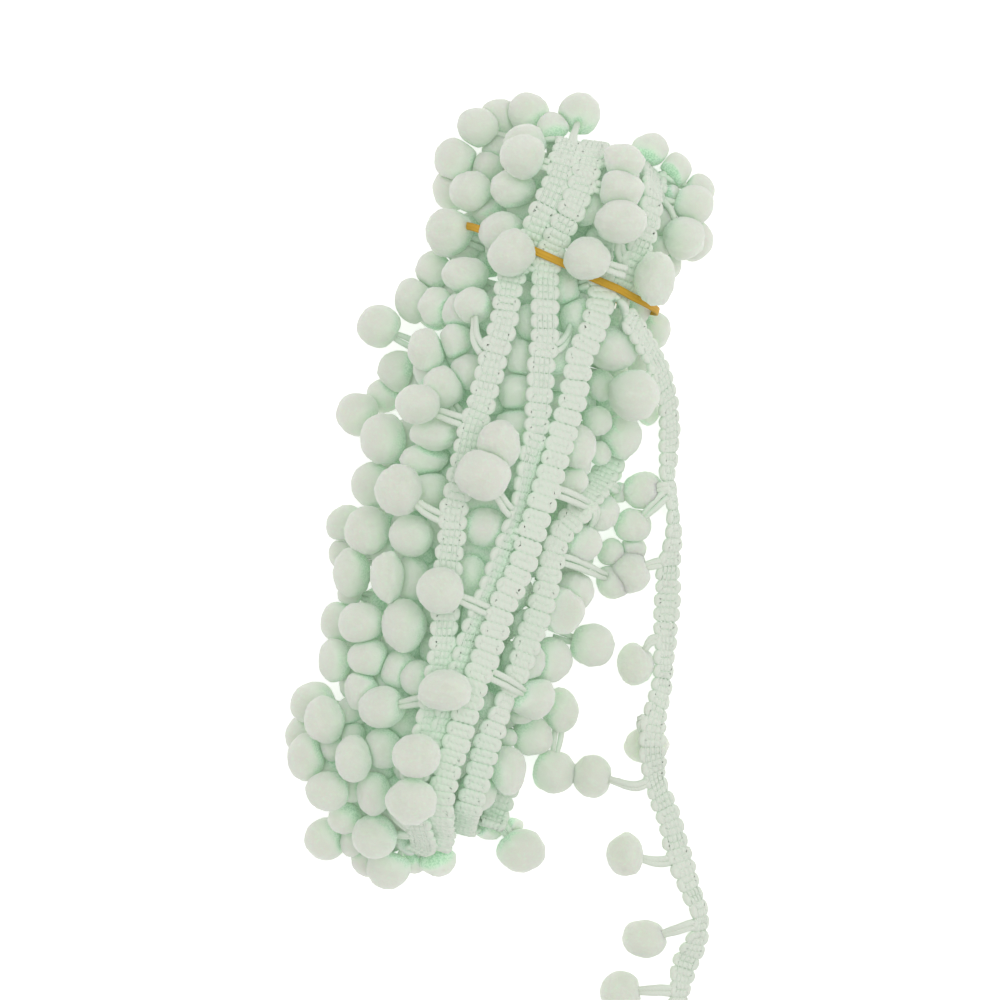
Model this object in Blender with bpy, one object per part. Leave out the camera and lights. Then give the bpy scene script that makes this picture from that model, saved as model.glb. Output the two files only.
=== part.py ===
"""A hank of pompom fringe trim: a woven tape with a pompom on a short yarn stem every 16 mm along one edge.

The trim is wound into a flat hank, an elastic band ties it near one end, and the loose end lies beside it.
The hank lies on its back: +Y runs along it towards the tied end, +X across it, +Z up, and z = 0 is the
surface that it rests on. The origin is the middle of its flat underside.
"""

import math
from collections import namedtuple

import bmesh
import bpy
import numpy as np
from mathutils import Matrix, Vector

MM = 0.001

# The trim
TAPE_WIDTH = 6.4 * MM
TAPE_THICKNESS = 1.5 * MM
POMPOM_ACROSS = 10.0 * MM
STEM_WIDTH = 2.6 * MM  # two strands side by side
STEM_THICKNESS = 1.3 * MM
SEAT_GAP = 0.3 * MM  # between pieces that touch

# The wound form
ROW_PITCH = 9.0 * MM
POMPOM_SPACING = 10.4 * MM
POMPOM_SINK = 1.6 * MM  # how far a pompom's middle lies under the core's surface
POMPOM_JITTER = 0.9 * MM
RIDER_LIFT = 3.4 * MM  # a pompom that lies on top of the tape runs
UNDERSIDE_SHARE = 0.08  # the share of the section's height that the flat underside cuts off
SECTION_POINTS = 28
VOXEL = 1.0 * MM
TRIANGLES_KEPT = 0.067
SEED = 7

# The elastic band
BAND_THICKNESS = 1.2 * MM
BAND_CLEARS_GROUND = 0.1 * MM  # less than its gap in the groove, so the groove is open underneath
BAND_ALONG = 51.5 * MM
BAND_TILT = math.radians(-8)
BAND_CLEAR = 6.2 * MM  # no pompom of the hank's own is centred nearer than this to the band
BAND_POINTS = 40
LOOSE_CLEAR = 8.0 * MM  # nor to the loose end

# Millimetres: the wound form's cross-sections, from the folded end to the tied end
Section = namedtuple("Section", "along middle half_width top")
SECTIONS = [
    Section(along=-83, middle=-7.0, half_width=9.0, top=15.0),
    Section(along=-77, middle=-5.0, half_width=17.0, top=22.0),
    Section(along=-66, middle=-4.0, half_width=22.0, top=27.5),
    Section(along=-46, middle=-1.5, half_width=24.0, top=30.5),
    Section(along=-20, middle=-1.0, half_width=25.5, top=32.5),
    Section(along=8, middle=-2.0, half_width=25.0, top=32.5),
    Section(along=32, middle=-2.5, half_width=24.0, top=31.0),
    Section(along=46, middle=0.0, half_width=23.0, top=28.0),
    Section(along=53, middle=1.5, half_width=22.0, top=26.5),
    Section(along=64, middle=2.0, half_width=24.0, top=28.0),
    Section(along=76, middle=1.0, half_width=20.5, top=25.0),
    Section(along=84, middle=-1.0, half_width=11.0, top=17.0),
]

# Millimetres: the runs of tape that lie along the top, each through three places
Run = namedtuple("Run", "start_x start_y middle_x middle_y end_x end_y")
TAPE_RUNS = [
    Run(start_x=-7.5, start_y=46, middle_x=-7.0, middle_y=0, end_x=0.5, end_y=-56),
    Run(start_x=0.5, start_y=46, middle_x=6.5, middle_y=8, end_x=3.5, end_y=-30),
    Run(start_x=12.0, start_y=43, middle_x=11.0, middle_y=-6, end_x=4.5, end_y=-74),
    Run(start_x=14.5, start_y=-42, middle_x=13.0, middle_y=-54, end_x=12.0, end_y=-68),
    Run(start_x=-3.0, start_y=78, middle_x=-4.0, middle_y=68, end_x=-5.0, end_y=57),
    Run(start_x=3.5, start_y=78, middle_x=2.0, middle_y=68, end_x=-0.5, end_y=57),
    Run(start_x=16.5, start_y=78, middle_x=18.5, middle_y=68, end_x=16.5, end_y=55),
]
RUN_POINTS = 14
RUN_DEPTH = 3.4 * MM  # a run is drawn this thick, so that its lower part is sunk into the form
RUN_RISE = 1.5 * MM
LANE_CLEAR = 6.0 * MM  # pompoms on the top side keep this far from the middle of a run

# Millimetres: pompoms that lie on top of the tape runs
Rider = namedtuple("Rider", "x y")
RIDERS = [
    Rider(x=-11.5, y=72),
    Rider(x=12.0, y=64.5),
    Rider(x=-1.0, y=11.5),
    Rider(x=-5.0, y=-22),
    Rider(x=1.5, y=-42.5),
    Rider(x=-1.0, y=-57.5),
]

# Millimetres: pompoms that stand off the form's outline, on their own stems
Outlier = namedtuple("Outlier", "x y height")
OUTLIERS = [
    Outlier(x=-33.5, y=30.5, height=8.0),
    Outlier(x=-33.0, y=10.5, height=8.0),
    Outlier(x=-30.0, y=-14.0, height=6.0),
    Outlier(x=-29.5, y=-38.0, height=7.0),
    Outlier(x=-26.5, y=-67.0, height=7.0),
    Outlier(x=-16.0, y=-83.5, height=5.0),
    Outlier(x=0.0, y=-85.5, height=5.0),
    Outlier(x=9.5, y=-81.0, height=5.0),
    Outlier(x=27.0, y=-75.0, height=5.0),
    Outlier(x=28.6, y=-56.0, height=5.0),
    Outlier(x=30.5, y=-26.5, height=6.0),
    Outlier(x=32.0, y=1.0, height=5.0),
    Outlier(x=28.5, y=68.0, height=8.0),
    Outlier(x=25.0, y=77.0, height=8.0),
    Outlier(x=-2.5, y=86.5, height=9.0),
]
OUTLIER_STEM = 3.2 * MM

# Millimetres and degrees: the loose end's route. The lean is how far the tape stands up on its outer edge.
Stop = namedtuple("Stop", "x y height lean")
LOOSE_ROUTE = [
    Stop(x=19.0, y=45.6, height=24.2, lean=40),
    Stop(x=22.6, y=43.0, height=21.0, lean=41),
    Stop(x=26.2, y=40.0, height=17.2, lean=40),
    Stop(x=29.6, y=36.6, height=13.4, lean=40),
    Stop(x=32.6, y=32.0, height=9.2, lean=40),
    Stop(x=35.2, y=26.0, height=5.2, lean=42),
    Stop(x=36.5, y=20.5, height=3.4, lean=46),
    Stop(x=37.6, y=15.5, height=3.6, lean=58),
    Stop(x=39.6, y=11.0, height=3.8, lean=68),
    Stop(x=41.4, y=6.5, height=3.7, lean=66),
    Stop(x=42.3, y=2.5, height=3.4, lean=55),
    Stop(x=42.8, y=-2.0, height=3.0, lean=42),
    Stop(x=43.8, y=-7.0, height=2.4, lean=26),
    Stop(x=45.0, y=-12.5, height=1.6, lean=8),
    Stop(x=46.0, y=-17.5, height=2.1, lean=20),
    Stop(x=47.0, y=-22.5, height=2.9, lean=38),
    Stop(x=48.0, y=-28.0, height=3.1, lean=42),
    Stop(x=48.6, y=-33.5, height=4.2, lean=38),
    Stop(x=48.6, y=-39.0, height=6.9, lean=24),
    Stop(x=49.4, y=-44.5, height=8.4, lean=10),
    Stop(x=51.2, y=-49.5, height=6.6, lean=24),
    Stop(x=53.3, y=-53.5, height=3.8, lean=38),
    Stop(x=56.0, y=-57.5, height=2.6, lean=28),
    Stop(x=59.0, y=-62.0, height=2.3, lean=26),
    Stop(x=61.5, y=-66.5, height=2.1, lean=20),
    Stop(x=64.0, y=-70.5, height=2.5, lean=30),
    Stop(x=66.8, y=-74.5, height=2.9, lean=42),
    Stop(x=69.6, y=-78.5, height=3.4, lean=52),
    Stop(x=70.8, y=-83.0, height=3.1, lean=44),
    Stop(x=70.6, y=-87.0, height=2.4, lean=26),
    Stop(x=70.0, y=-91.0, height=1.5, lean=6),
    Stop(x=69.8, y=-95.0, height=2.6, lean=32),
    Stop(x=70.2, y=-99.5, height=3.1, lean=42),
    Stop(x=71.2, y=-105.0, height=2.2, lean=24),
    Stop(x=72.6, y=-111.0, height=1.5, lean=6),
]
ROUTE_STATIONS = 72

# Millimetres: the pompoms on the loose end. root_y is where the stem leaves the tape's inner edge.
TailPompom = namedtuple("TailPompom", "x y across tall root_y")
TAIL_POMPOMS = [
    TailPompom(x=32.6, y=11.4, across=8.4, tall=8.6, root_y=13.0),
    TailPompom(x=35.4, y=-9.5, across=9.6, tall=9.0, root_y=-4.0),
    TailPompom(x=41.2, y=-28.5, across=9.4, tall=4.2, root_y=-21.5),
    TailPompom(x=46.6, y=-45.5, across=10.0, tall=5.6, root_y=-39.5),
    TailPompom(x=38.6, y=-55.0, across=9.2, tall=9.0, root_y=-53.5),
    TailPompom(x=50.3, y=-70.2, across=9.2, tall=9.0, root_y=-68.5),
    TailPompom(x=59.0, y=-87.5, across=9.6, tall=9.2, root_y=-82.0),
    TailPompom(x=57.1, y=-100.4, across=9.4, tall=9.2, root_y=-97.5),
]
STEM_STATIONS = 6
TAIL_SEGMENTS = 14
TAIL_RINGS = 8

YARN_COLOUR = (0.60, 0.68, 0.57, 1.0)
BAND_COLOUR = (0.58, 0.33, 0.03, 1.0)


def clear_scene():
    for obj in list(bpy.data.objects):
        bpy.data.objects.remove(obj, do_unlink=True)


def material(name, colour, roughness):
    made = bpy.data.materials.new(name)
    made.use_nodes = True
    shader = made.node_tree.nodes["Principled BSDF"]
    shader.inputs["Base Color"].default_value = colour
    shader.inputs["Roughness"].default_value = roughness
    shader.inputs["Metallic"].default_value = 0.0
    made.diffuse_color = colour
    return made


def add_object(name, bm, finish, hidden=False):
    mesh = bpy.data.meshes.new(name)
    bmesh.ops.recalc_face_normals(bm, faces=bm.faces)
    bm.to_mesh(mesh)
    bm.free()
    mesh.materials.append(finish)
    mesh.shade_smooth()
    obj = bpy.data.objects.new(name, mesh)
    bpy.context.scene.collection.objects.link(obj)
    if hidden:
        obj.hide_render = True
        obj.display_type = "WIRE"
    return obj


def boolean(obj, cutter, operation):
    modifier = obj.modifiers.new(operation.title(), "BOOLEAN")
    modifier.operation = operation
    modifier.object = cutter
    return modifier


def smooth_curve(points, stations):
    """Evenly spaced places on a smooth curve through the given points, each a row of numbers."""
    points = np.array(points, float)
    padded = np.vstack([2 * points[0] - points[1], points, 2 * points[-1] - points[-2]])
    fine = []
    for i in range(1, len(padded) - 2):
        before, start, end, after = padded[i - 1 : i + 3]
        for t in np.linspace(0, 1, 12, endpoint=False):
            fine.append(
                0.5
                * (
                    2 * start
                    + (end - before) * t
                    + (2 * before - 5 * start + 4 * end - after) * t**2
                    + (3 * start - before - 3 * end + after) * t**3
                )
            )
    fine.append(points[-1])
    fine = np.array(fine)
    steps = np.linalg.norm(np.diff(fine[:, :3], axis=0), axis=1)
    travelled = np.concatenate([[0], np.cumsum(steps)])
    wanted = np.linspace(0, travelled[-1], stations)
    return np.column_stack([np.interp(wanted, travelled, column) for column in fine.T])


def quadratic(start, control, end, stations):
    """Places on the curve from start to end that sets off towards control."""
    steps = [i / (stations - 1) for i in range(stations)]
    return [start * (1 - t) ** 2 + control * (2 * t * (1 - t)) + end * t**2 for t in steps]


def section(along):
    """Middle, half width and top of the wound form at a place along it."""
    rows = np.array(SECTIONS) * MM
    return [float(np.interp(along, rows[:, 0], rows[:, column])) for column in (1, 2, 3)]


def form_point(along, turn, sink=0.0):
    """A place on the wound form's surface, or under it by the sink. A turn of 0 is the +X side, 90 degrees the top."""
    middle, half_width, top = section(along)
    half_height = top / 2 / (1 - UNDERSIDE_SHARE)
    x = middle + (half_width - sink) * math.cos(turn)
    z = top - half_height + (half_height - sink) * math.sin(turn)
    return Vector((x, along, z))


def top_height(x, y):
    """Height of the wound form's upper surface over a place."""
    middle, half_width, top = section(y)
    half_height = top / 2 / (1 - UNDERSIDE_SHARE)
    reach = min(abs(x - middle) / half_width, 1.0)
    return top - half_height + half_height * math.sqrt(1 - reach**2)


def add_loft(bm, rings):
    """A closed solid through rings of places, each ring with the same number of them."""
    loops = []
    for ring in rings:
        verts = [bm.verts.new(place) for place in ring]
        count = len(verts)
        loops.append([bm.edges.new((verts[i], verts[(i + 1) % count])) for i in range(count)])
    for first, second in zip(loops, loops[1:]):
        bmesh.ops.bridge_loops(bm, edges=first + second)
    for end in (loops[0], loops[-1]):
        bmesh.ops.contextual_create(bm, geom=end)


def add_strip(bm, places, across, thickness, width, corners=4):
    """A strip swept along places. across is the unit vector over its width at each place."""
    rings = []
    last = len(places) - 1
    for i, place in enumerate(places):
        ahead = (places[min(i + 1, last)] - places[max(i - 1, 0)]).normalized()
        side = across[i]
        normal = side.cross(ahead).normalized()
        ring = []
        for corner in range(corners):
            angle = math.pi / corners + 2 * math.pi * corner / corners
            stretch = 1 / math.cos(math.pi / corners)
            ring.append(
                place
                + side * (width / 2 * stretch * math.cos(angle))
                + normal * (thickness / 2 * stretch * math.sin(angle))
            )
        rings.append(ring)
    add_loft(bm, rings)


def add_ball(bm, place, across):
    bmesh.ops.create_icosphere(
        bm, subdivisions=3, radius=across / 2, matrix=Matrix.Translation(place)
    )


def band_offset(place):
    """How far a place is from the plane that the elastic band lies in."""
    return (place.y - BAND_ALONG) * math.cos(BAND_TILT) - place.x * math.sin(BAND_TILT)


def run_places():
    """The places along each tape run on the top side."""
    runs = []
    for run in TAPE_RUNS:
        stops = np.array(run).reshape(3, 2) * MM
        route = smooth_curve(stops, RUN_POINTS)
        runs.append([Vector((x, y, top_height(x, y))) for x, y in route])
    return runs


def near_run(place, runs):
    for run in runs:
        for stop in run:
            if math.hypot(place.x - stop.x, place.y - stop.y) < LANE_CLEAR:
                return True
    return False


def pompom_places(runs, loose_places):
    """Pompoms in staggered rings all round the form, left out under the band and along the tape."""
    draw = np.random.default_rng(SEED)
    first, last = SECTIONS[0].along * MM, SECTIONS[-1].along * MM
    places = []
    rows = int((last - first) / ROW_PITCH) + 1
    for row in range(rows):
        along = first + row * ROW_PITCH
        middle, half_width, top = section(along)
        round_it = math.pi * (half_width + top / 2)
        count = max(3, round(round_it / POMPOM_SPACING))
        for i in range(count):
            turn = 2 * math.pi * (i + 0.5 * (row % 2)) / count
            place = form_point(along, turn, POMPOM_SINK)
            place += Vector(draw.uniform(-POMPOM_JITTER, POMPOM_JITTER, 3))
            on_top = math.sin(turn) > 0.25
            if abs(band_offset(place)) < BAND_CLEAR or (on_top and near_run(place, runs)):
                continue
            if min((place - stop).length for stop in loose_places) < LOOSE_CLEAR:
                continue
            places.append(place)
    return places


def make_hank(finish, groove, loose_places):
    """The wound form, one solid: core, tape runs on top, pompoms all round, flat underside."""
    bm = bmesh.new()
    first, last = SECTIONS[0].along * MM, SECTIONS[-1].along * MM
    turns = [2 * math.pi * i / SECTION_POINTS for i in range(SECTION_POINTS)]
    stations = np.linspace(first, last, 40)
    add_loft(bm, [[form_point(y, turn) for turn in turns] for y in stations])
    runs = run_places()
    for run in runs:
        across = []
        for stop in run:
            slope = top_height(stop.x + MM, stop.y) - top_height(stop.x - MM, stop.y)
            across.append(Vector((2 * MM, 0, slope)).normalized())
        sunk = [stop + Vector((0, 0, RUN_RISE - RUN_DEPTH / 2)) for stop in run]
        add_strip(bm, sunk, across, RUN_DEPTH, TAPE_WIDTH)
    for place in pompom_places(runs, loose_places):
        add_ball(bm, place, POMPOM_ACROSS)
    for rider in RIDERS:
        x, y = rider.x * MM, rider.y * MM
        add_ball(bm, Vector((x, y, top_height(x, y) + RIDER_LIFT)), POMPOM_ACROSS)
    for outlier in OUTLIERS:
        place = Vector(outlier) * MM
        add_ball(bm, place, POMPOM_ACROSS)
        inner_y = min(max(place.y, first + 8 * MM), last - 8 * MM)
        root = Vector((section(inner_y)[0] + 0.6 * (place.x - section(inner_y)[0]), inner_y, place.z + 2 * MM))
        ahead = (root - place).normalized()
        side = ahead.cross(Vector((0, 0, 1))).normalized()
        add_strip(bm, [place, root], [side, side], OUTLIER_STEM, OUTLIER_STEM, corners=6)
    hank = add_object("hank", bm, finish)
    remesh = hank.modifiers.new("OneSkin", "REMESH")
    remesh.mode = "VOXEL"
    remesh.voxel_size = VOXEL
    thin = hank.modifiers.new("FewerFaces", "DECIMATE")
    thin.ratio = TRIANGLES_KEPT
    boolean(hank, groove, "DIFFERENCE")
    ground = bmesh.new()
    side, depth = 0.4, 0.02
    bmesh.ops.create_cube(
        ground,
        size=1,
        matrix=Matrix.Translation((0, 0, -depth / 2)) @ Matrix.Diagonal((side, side, depth, 1)),
    )
    boolean(hank, add_object("ground_cutter", ground, finish, hidden=True), "DIFFERENCE")
    return hank


def band_path():
    """The closed path of the band's middle, round the form in a slightly tilted plane."""
    lowest = BAND_CLEARS_GROUND + BAND_THICKNESS / 2
    path = []
    for i in range(BAND_POINTS):
        turn = 2 * math.pi * i / BAND_POINTS
        place = form_point(BAND_ALONG, turn)
        place.z = max(place.z, lowest)
        place.y = BAND_ALONG + place.x * math.tan(BAND_TILT)
        path.append(place)
    return path


def band_curve(name, thickness, finish):
    data = bpy.data.curves.new(name, "CURVE")
    data.dimensions = "3D"
    data.bevel_depth = thickness / 2
    data.bevel_resolution = 2
    spline = data.splines.new("POLY")
    path = band_path()
    spline.points.add(len(path) - 1)
    for point, place in zip(spline.points, path):
        point.co = (*place, 1.0)
    spline.use_cyclic_u = True
    data.materials.append(finish)
    obj = bpy.data.objects.new(name, data)
    bpy.context.scene.collection.objects.link(obj)
    return obj


def make_band(finish):
    """Makes the elastic band, and returns the cutter for the groove that it pulls into the hank."""
    band_curve("elastic_band", BAND_THICKNESS, finish)
    wider = band_curve("groove_curve", BAND_THICKNESS + 2 * SEAT_GAP, finish)
    bpy.context.view_layer.update()
    graph = bpy.context.evaluated_depsgraph_get()
    groove = bmesh.new()
    groove.from_mesh(bpy.data.meshes.new_from_object(wider.evaluated_get(graph)))
    bpy.data.objects.remove(wider, do_unlink=True)
    return add_object("band_groove_cutter", groove, finish, hidden=True)


def loose_route():
    """Places, lean and inner-side direction along the loose end."""
    rows = smooth_curve([(s.x * MM, s.y * MM, s.height * MM, s.lean) for s in LOOSE_ROUTE], ROUTE_STATIONS)
    places = [Vector(row[:3]) for row in rows]
    inner = []
    last = len(places) - 1
    for i, row in enumerate(rows):
        ahead = (places[min(i + 1, last)] - places[max(i - 1, 0)]).normalized()
        flat = Vector((0, 0, 1)).cross(ahead).normalized()
        if flat.x > 0:
            flat.negate()
        lean = math.radians(row[3])
        up = ahead.cross(flat).normalized()
        if up.z < 0:
            up.negate()
        inner.append((flat * math.cos(lean) + up * math.sin(lean)).normalized())
    return places, inner


def make_loose_tape(finish, places, inner):
    bm = bmesh.new()
    add_strip(bm, places, inner, TAPE_THICKNESS, TAPE_WIDTH)
    return add_object("loose_tape", bm, finish)


def make_tail_pompom(number, row, finish, places, inner):
    """A pompom on the loose end with its stem, one solid."""
    middle = Vector((row.x, row.y, row.tall / 2)) * MM
    ball = bmesh.new()
    shape = Matrix.Diagonal((row.across * MM, row.across * MM, row.tall * MM, 1))
    bmesh.ops.create_uvsphere(
        ball,
        u_segments=TAIL_SEGMENTS,
        v_segments=TAIL_RINGS,
        radius=0.5,
        matrix=Matrix.Translation(middle) @ shape,
    )
    name = f"tail_pompom_{number}"
    obj = add_object(name, ball, finish)
    at = min(range(len(places)), key=lambda i: abs(places[i].y - row.root_y * MM))
    root = places[at] + inner[at] * (TAPE_WIDTH / 2 + SEAT_GAP)
    elbow = root + inner[at] * STEM_THICKNESS
    side = (places[at + 1] - places[at]).normalized()
    stem = bmesh.new()
    bends = [root, *quadratic(elbow, elbow + inner[at] * STEM_THICKNESS, middle, STEM_STATIONS)]
    add_strip(stem, bends, [side] * len(bends), STEM_THICKNESS, STEM_WIDTH, corners=6)
    boolean(obj, add_object(f"{name}_stem_cutter", stem, finish, hidden=True), "UNION")
    return obj


def main():
    clear_scene()
    yarn = material("yarn", YARN_COLOUR, 0.95)
    tape = material("tape", YARN_COLOUR, 0.9)
    elastic = material("elastic", BAND_COLOUR, 0.6)
    places, inner = loose_route()
    make_hank(yarn, make_band(elastic), places)
    make_loose_tape(tape, places, inner)
    for number, row in enumerate(TAIL_POMPOMS, start=1):
        make_tail_pompom(number, row, yarn, places, inner)


main()
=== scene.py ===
import math
from collections import namedtuple

import bmesh
import bpy
import numpy as np
from mathutils import Matrix, Vector


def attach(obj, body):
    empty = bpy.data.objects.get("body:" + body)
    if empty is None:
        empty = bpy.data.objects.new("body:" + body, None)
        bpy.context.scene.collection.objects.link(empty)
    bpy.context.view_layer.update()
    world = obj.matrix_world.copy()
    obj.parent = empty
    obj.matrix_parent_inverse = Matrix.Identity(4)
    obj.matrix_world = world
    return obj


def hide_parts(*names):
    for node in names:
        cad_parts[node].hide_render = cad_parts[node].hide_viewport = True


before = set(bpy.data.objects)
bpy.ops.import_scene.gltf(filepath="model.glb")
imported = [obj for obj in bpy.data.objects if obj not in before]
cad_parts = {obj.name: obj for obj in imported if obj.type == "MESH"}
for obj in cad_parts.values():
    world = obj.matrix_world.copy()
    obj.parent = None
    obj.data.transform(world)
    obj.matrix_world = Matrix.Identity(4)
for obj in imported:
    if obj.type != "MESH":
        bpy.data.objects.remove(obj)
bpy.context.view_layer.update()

# ---------------------------------------------------------------------------------------------
# The camera. It looks straight down on the hank, which lies a little turned in its square frame.
# Places are given across and down that frame, and then sit at a real height.
MM = 0.001
FRAME_PIXELS = 1000
LENS = 85.0
SENSOR = 36.0
CAMERA_PLACE = Vector((2.5 * MM, 0.0, 537.5 * MM))
CLIP_START = 10 * MM
HANK_TURN = math.radians(14.7)

camera_right = Vector((math.cos(HANK_TURN), math.sin(HANK_TURN), 0))
camera_up = Vector((-math.sin(HANK_TURN), math.cos(HANK_TURN), 0))
camera_data = bpy.data.cameras.new("overhead_camera")
camera_data.lens = LENS
camera_data.sensor_width = SENSOR
camera_data.clip_start = CLIP_START
camera = bpy.data.objects.new("overhead_camera", camera_data)
bpy.context.scene.collection.objects.link(camera)
turn = Matrix((camera_right, camera_up, Vector((0, 0, 1)))).transposed()
camera.matrix_world = Matrix.Translation(CAMERA_PLACE) @ turn.to_4x4()
bpy.context.scene.camera = camera


def pixel_size(height):
    """Metres that one pixel of the camera's frame covers at a height above the table."""
    return SENSOR / LENS * (CAMERA_PLACE.z - height) / FRAME_PIXELS


def spot(across, down, height):
    """The place at a height that the camera sees at a pixel of its frame."""
    size = pixel_size(height)
    place = CAMERA_PLACE + camera_right * (across - FRAME_PIXELS / 2) * size
    place -= camera_up * (down - FRAME_PIXELS / 2) * size
    return Vector((place.x, place.y, height))


# ---------------------------------------------------------------------------------------------
# The loose end of the braid. Two fat soft cords of mint yarn are laid to and fro across the width
# in flattened rings, and four thin warp threads bind them on the face. It comes out from beside
# the elastic, drops over the hank's shoulder and lies on the table, rolled on edge in places.
TAPE_WIDTH = 6.4 * MM
RING_PITCH = 3.25 * MM
RIB_GAP = 0.81 * MM  # half the distance between a ring's two ribs
TURN_FROM = 1.85 * MM  # from the middle line to where a rib starts its turn
TURN_DEPTH = 0.45 * MM
TURN_ANGLES = (60, 20, -20, -60)  # degrees, the stations round a rib's turn
TURN_MARGIN = 0.2 * MM
RIB_HALF = 0.83 * MM  # a rib's half width between the warp threads, where one binds it, and in its turn
RIB_HALF_BOUND = 1.0 * MM
RIB_HALF_TURN = 0.94 * MM
RIB_FRONT = 0.74 * MM  # a rib's rise on the face, and where a warp thread binds it
RIB_FRONT_BOUND = 0.6 * MM
RIB_BACK = 0.7 * MM
RIB_SIDES = 10
RIB_SQUARENESS = 0.7  # 1 gives an oval section, less a squarer one
BOUND_SINK = 0.05 * MM  # how far a warp thread presses a rib down
BOUND_EASE = 0.8  # 1 swells a rib evenly away from a warp thread, less swells it sooner
BACK_MERGE = 1.16  # how much wider a rib lies toward its own ring's other rib, on the back
BACK_FROM = -0.1  # share of a rib's rise below which it counts as its back
WARP_LANES = (-1.72 * MM, -0.575 * MM, 0.575 * MM, 1.72 * MM)
WARP_RADIUS = 0.19 * MM
WARP_CREST = 0.62 * MM
WARP_DIP = 0.46 * MM
WARP_SWAY = 0.07 * MM
WARP_STATIONS = 6  # for each ring
SWAY_EVERY = 9  # stations
BESIDE_WARP = 0.24 * MM
RING_SIZE_VARIES = 0.02  # how one ring differs from the next, as shares and distances
RING_SHIFT = 0.09 * MM
RING_SKEW = 0.022
RING_LIFT = 0.07 * MM
RING_SPACING = 0.06 * MM
RING_FAT_VARIES = 0.03
YARN_SHIFT = 0.025 * MM  # how the yarn wavers within a ring
YARN_SLIP = 0.03 * MM
YARN_LIFT = 0.035 * MM
YARN_FAT_VARIES = 0.035
TABLE_CLEAR = 0.1 * MM
UV_SHIFT = 7.3  # mm, so that like tubes don't show the same plies
ROUTE_STEP = 0.4 * MM
CURVE_STEPS = 16  # between two stops

Stop = namedtuple("Stop", "x y height lean")
LOOSE_ROUTE = [
    Stop(19.0, 45.6, 24.2, 40), Stop(22.6, 43.0, 21.0, 41), Stop(26.2, 40.0, 17.2, 40),
    Stop(29.6, 36.6, 13.4, 40), Stop(32.6, 32.0, 9.2, 40), Stop(35.2, 26.0, 5.2, 42),
    Stop(36.5, 20.5, 3.4, 46), Stop(37.6, 15.5, 3.6, 58), Stop(39.6, 11.0, 3.8, 68),
    Stop(41.4, 6.5, 3.7, 66), Stop(42.3, 2.5, 3.4, 55), Stop(42.8, -2.0, 3.0, 42),
    Stop(43.8, -7.0, 2.4, 26), Stop(45.0, -12.5, 1.6, 8), Stop(46.0, -17.5, 2.1, 20),
    Stop(47.0, -22.5, 2.9, 38), Stop(48.0, -28.0, 3.1, 42), Stop(48.6, -33.5, 4.2, 38),
    Stop(48.6, -39.0, 6.9, 24), Stop(49.4, -44.5, 8.4, 10), Stop(51.2, -49.5, 6.6, 24),
    Stop(53.3, -53.5, 3.8, 38), Stop(56.0, -57.5, 2.6, 28), Stop(59.0, -62.0, 2.3, 26),
    Stop(61.5, -66.5, 2.1, 20), Stop(64.0, -70.5, 2.5, 30), Stop(66.8, -74.5, 2.9, 42),
    Stop(69.6, -78.5, 3.4, 52), Stop(70.8, -83.0, 3.1, 44), Stop(70.6, -87.0, 2.4, 26),
    Stop(70.0, -91.0, 1.5, 6), Stop(69.8, -95.0, 2.6, 32), Stop(70.2, -99.5, 3.1, 42),
    Stop(71.2, -105.0, 2.2, 24), Stop(72.6, -111.0, 1.5, 6),
]

YARN_PALE = (0.765, 0.775, 0.695, 1.0)
# The mint colour is the yarn's own fibres and plies, and also a painted half shade where the yarn lies less
# open. The deep colour is painted shade for places that neighbours close in on.
YARN_MINT = (0.735, 0.82, 0.71, 1.0)
YARN_PAINTED_SHADE = (0.66, 0.84, 0.68, 1.0)
# The seep colour is a painted glow, emission laid into the yarn's closest gaps.
YARN_PAINTED_GLOW = (0.016, 0.021, 0.016, 1.0)
WARP_PALE = (0.82, 0.86, 0.80, 1.0)
NO_GLOW = (0.0, 0.0, 0.0, 1.0)


def unit(ways):
    return ways / np.linalg.norm(ways, axis=-1, keepdims=True)


def distances(path):
    """How far each place of a path lies along it."""
    return np.concatenate([[0], np.cumsum(np.linalg.norm(np.diff(path, axis=0), axis=1))])


def interpolated(wanted, travelled, rows):
    """Rows of numbers at the wanted distances, from rows at the travelled ones."""
    return np.column_stack([np.interp(wanted, travelled, column) for column in rows.T])


def smooth_curve(points, step):
    """Rows of numbers every step along a smooth curve through the given rows."""
    points = np.array(points, float)
    padded = np.vstack([2 * points[0] - points[1], points, 2 * points[-1] - points[-2]])
    t = np.linspace(0, 1, CURVE_STEPS, endpoint=False)[:, None]
    parts = []
    for before, start, end, after in zip(padded, padded[1:], padded[2:], padded[3:]):
        slope = end - before
        bend = 2 * before - 5 * start + 4 * end - after
        twist = 3 * start - before - 3 * end + after
        parts.append(0.5 * (2 * start + slope * t + bend * t**2 + twist * t**3))
    fine = np.vstack([*parts, points[-1:]])
    travelled = distances(fine[:, :3])
    wanted = np.linspace(0, travelled[-1], max(2, round(travelled[-1] / step)))
    return wanted, interpolated(wanted, travelled, fine)


def make_route(stops, level=None):
    """A tape's route: distance, place, direction over its width, and the way its face looks."""
    travelled, rows = smooth_curve(stops, ROUTE_STEP)
    ahead = unit(np.gradient(rows[:, :3], axis=0))
    if level is None:
        flat = np.cross([0, 0, 1], ahead)
        flat *= np.where(flat[:, :1] < 0, -1, 1)
    else:
        flat = np.array(level) - ahead * (ahead @ np.array(level))[:, None]
    flat = unit(flat)
    face = unit(np.cross(ahead, flat))
    if level is None:
        face *= np.where(face[:, 2:] < 0, -1, 1)
    lean = np.radians(rows[:, 3:4])
    over = flat * np.cos(lean) - face * np.sin(lean)
    look = face * np.cos(lean) + flat * np.sin(lean)
    return {"s": travelled, "place": rows[:, :3], "over": over, "look": look}


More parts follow.
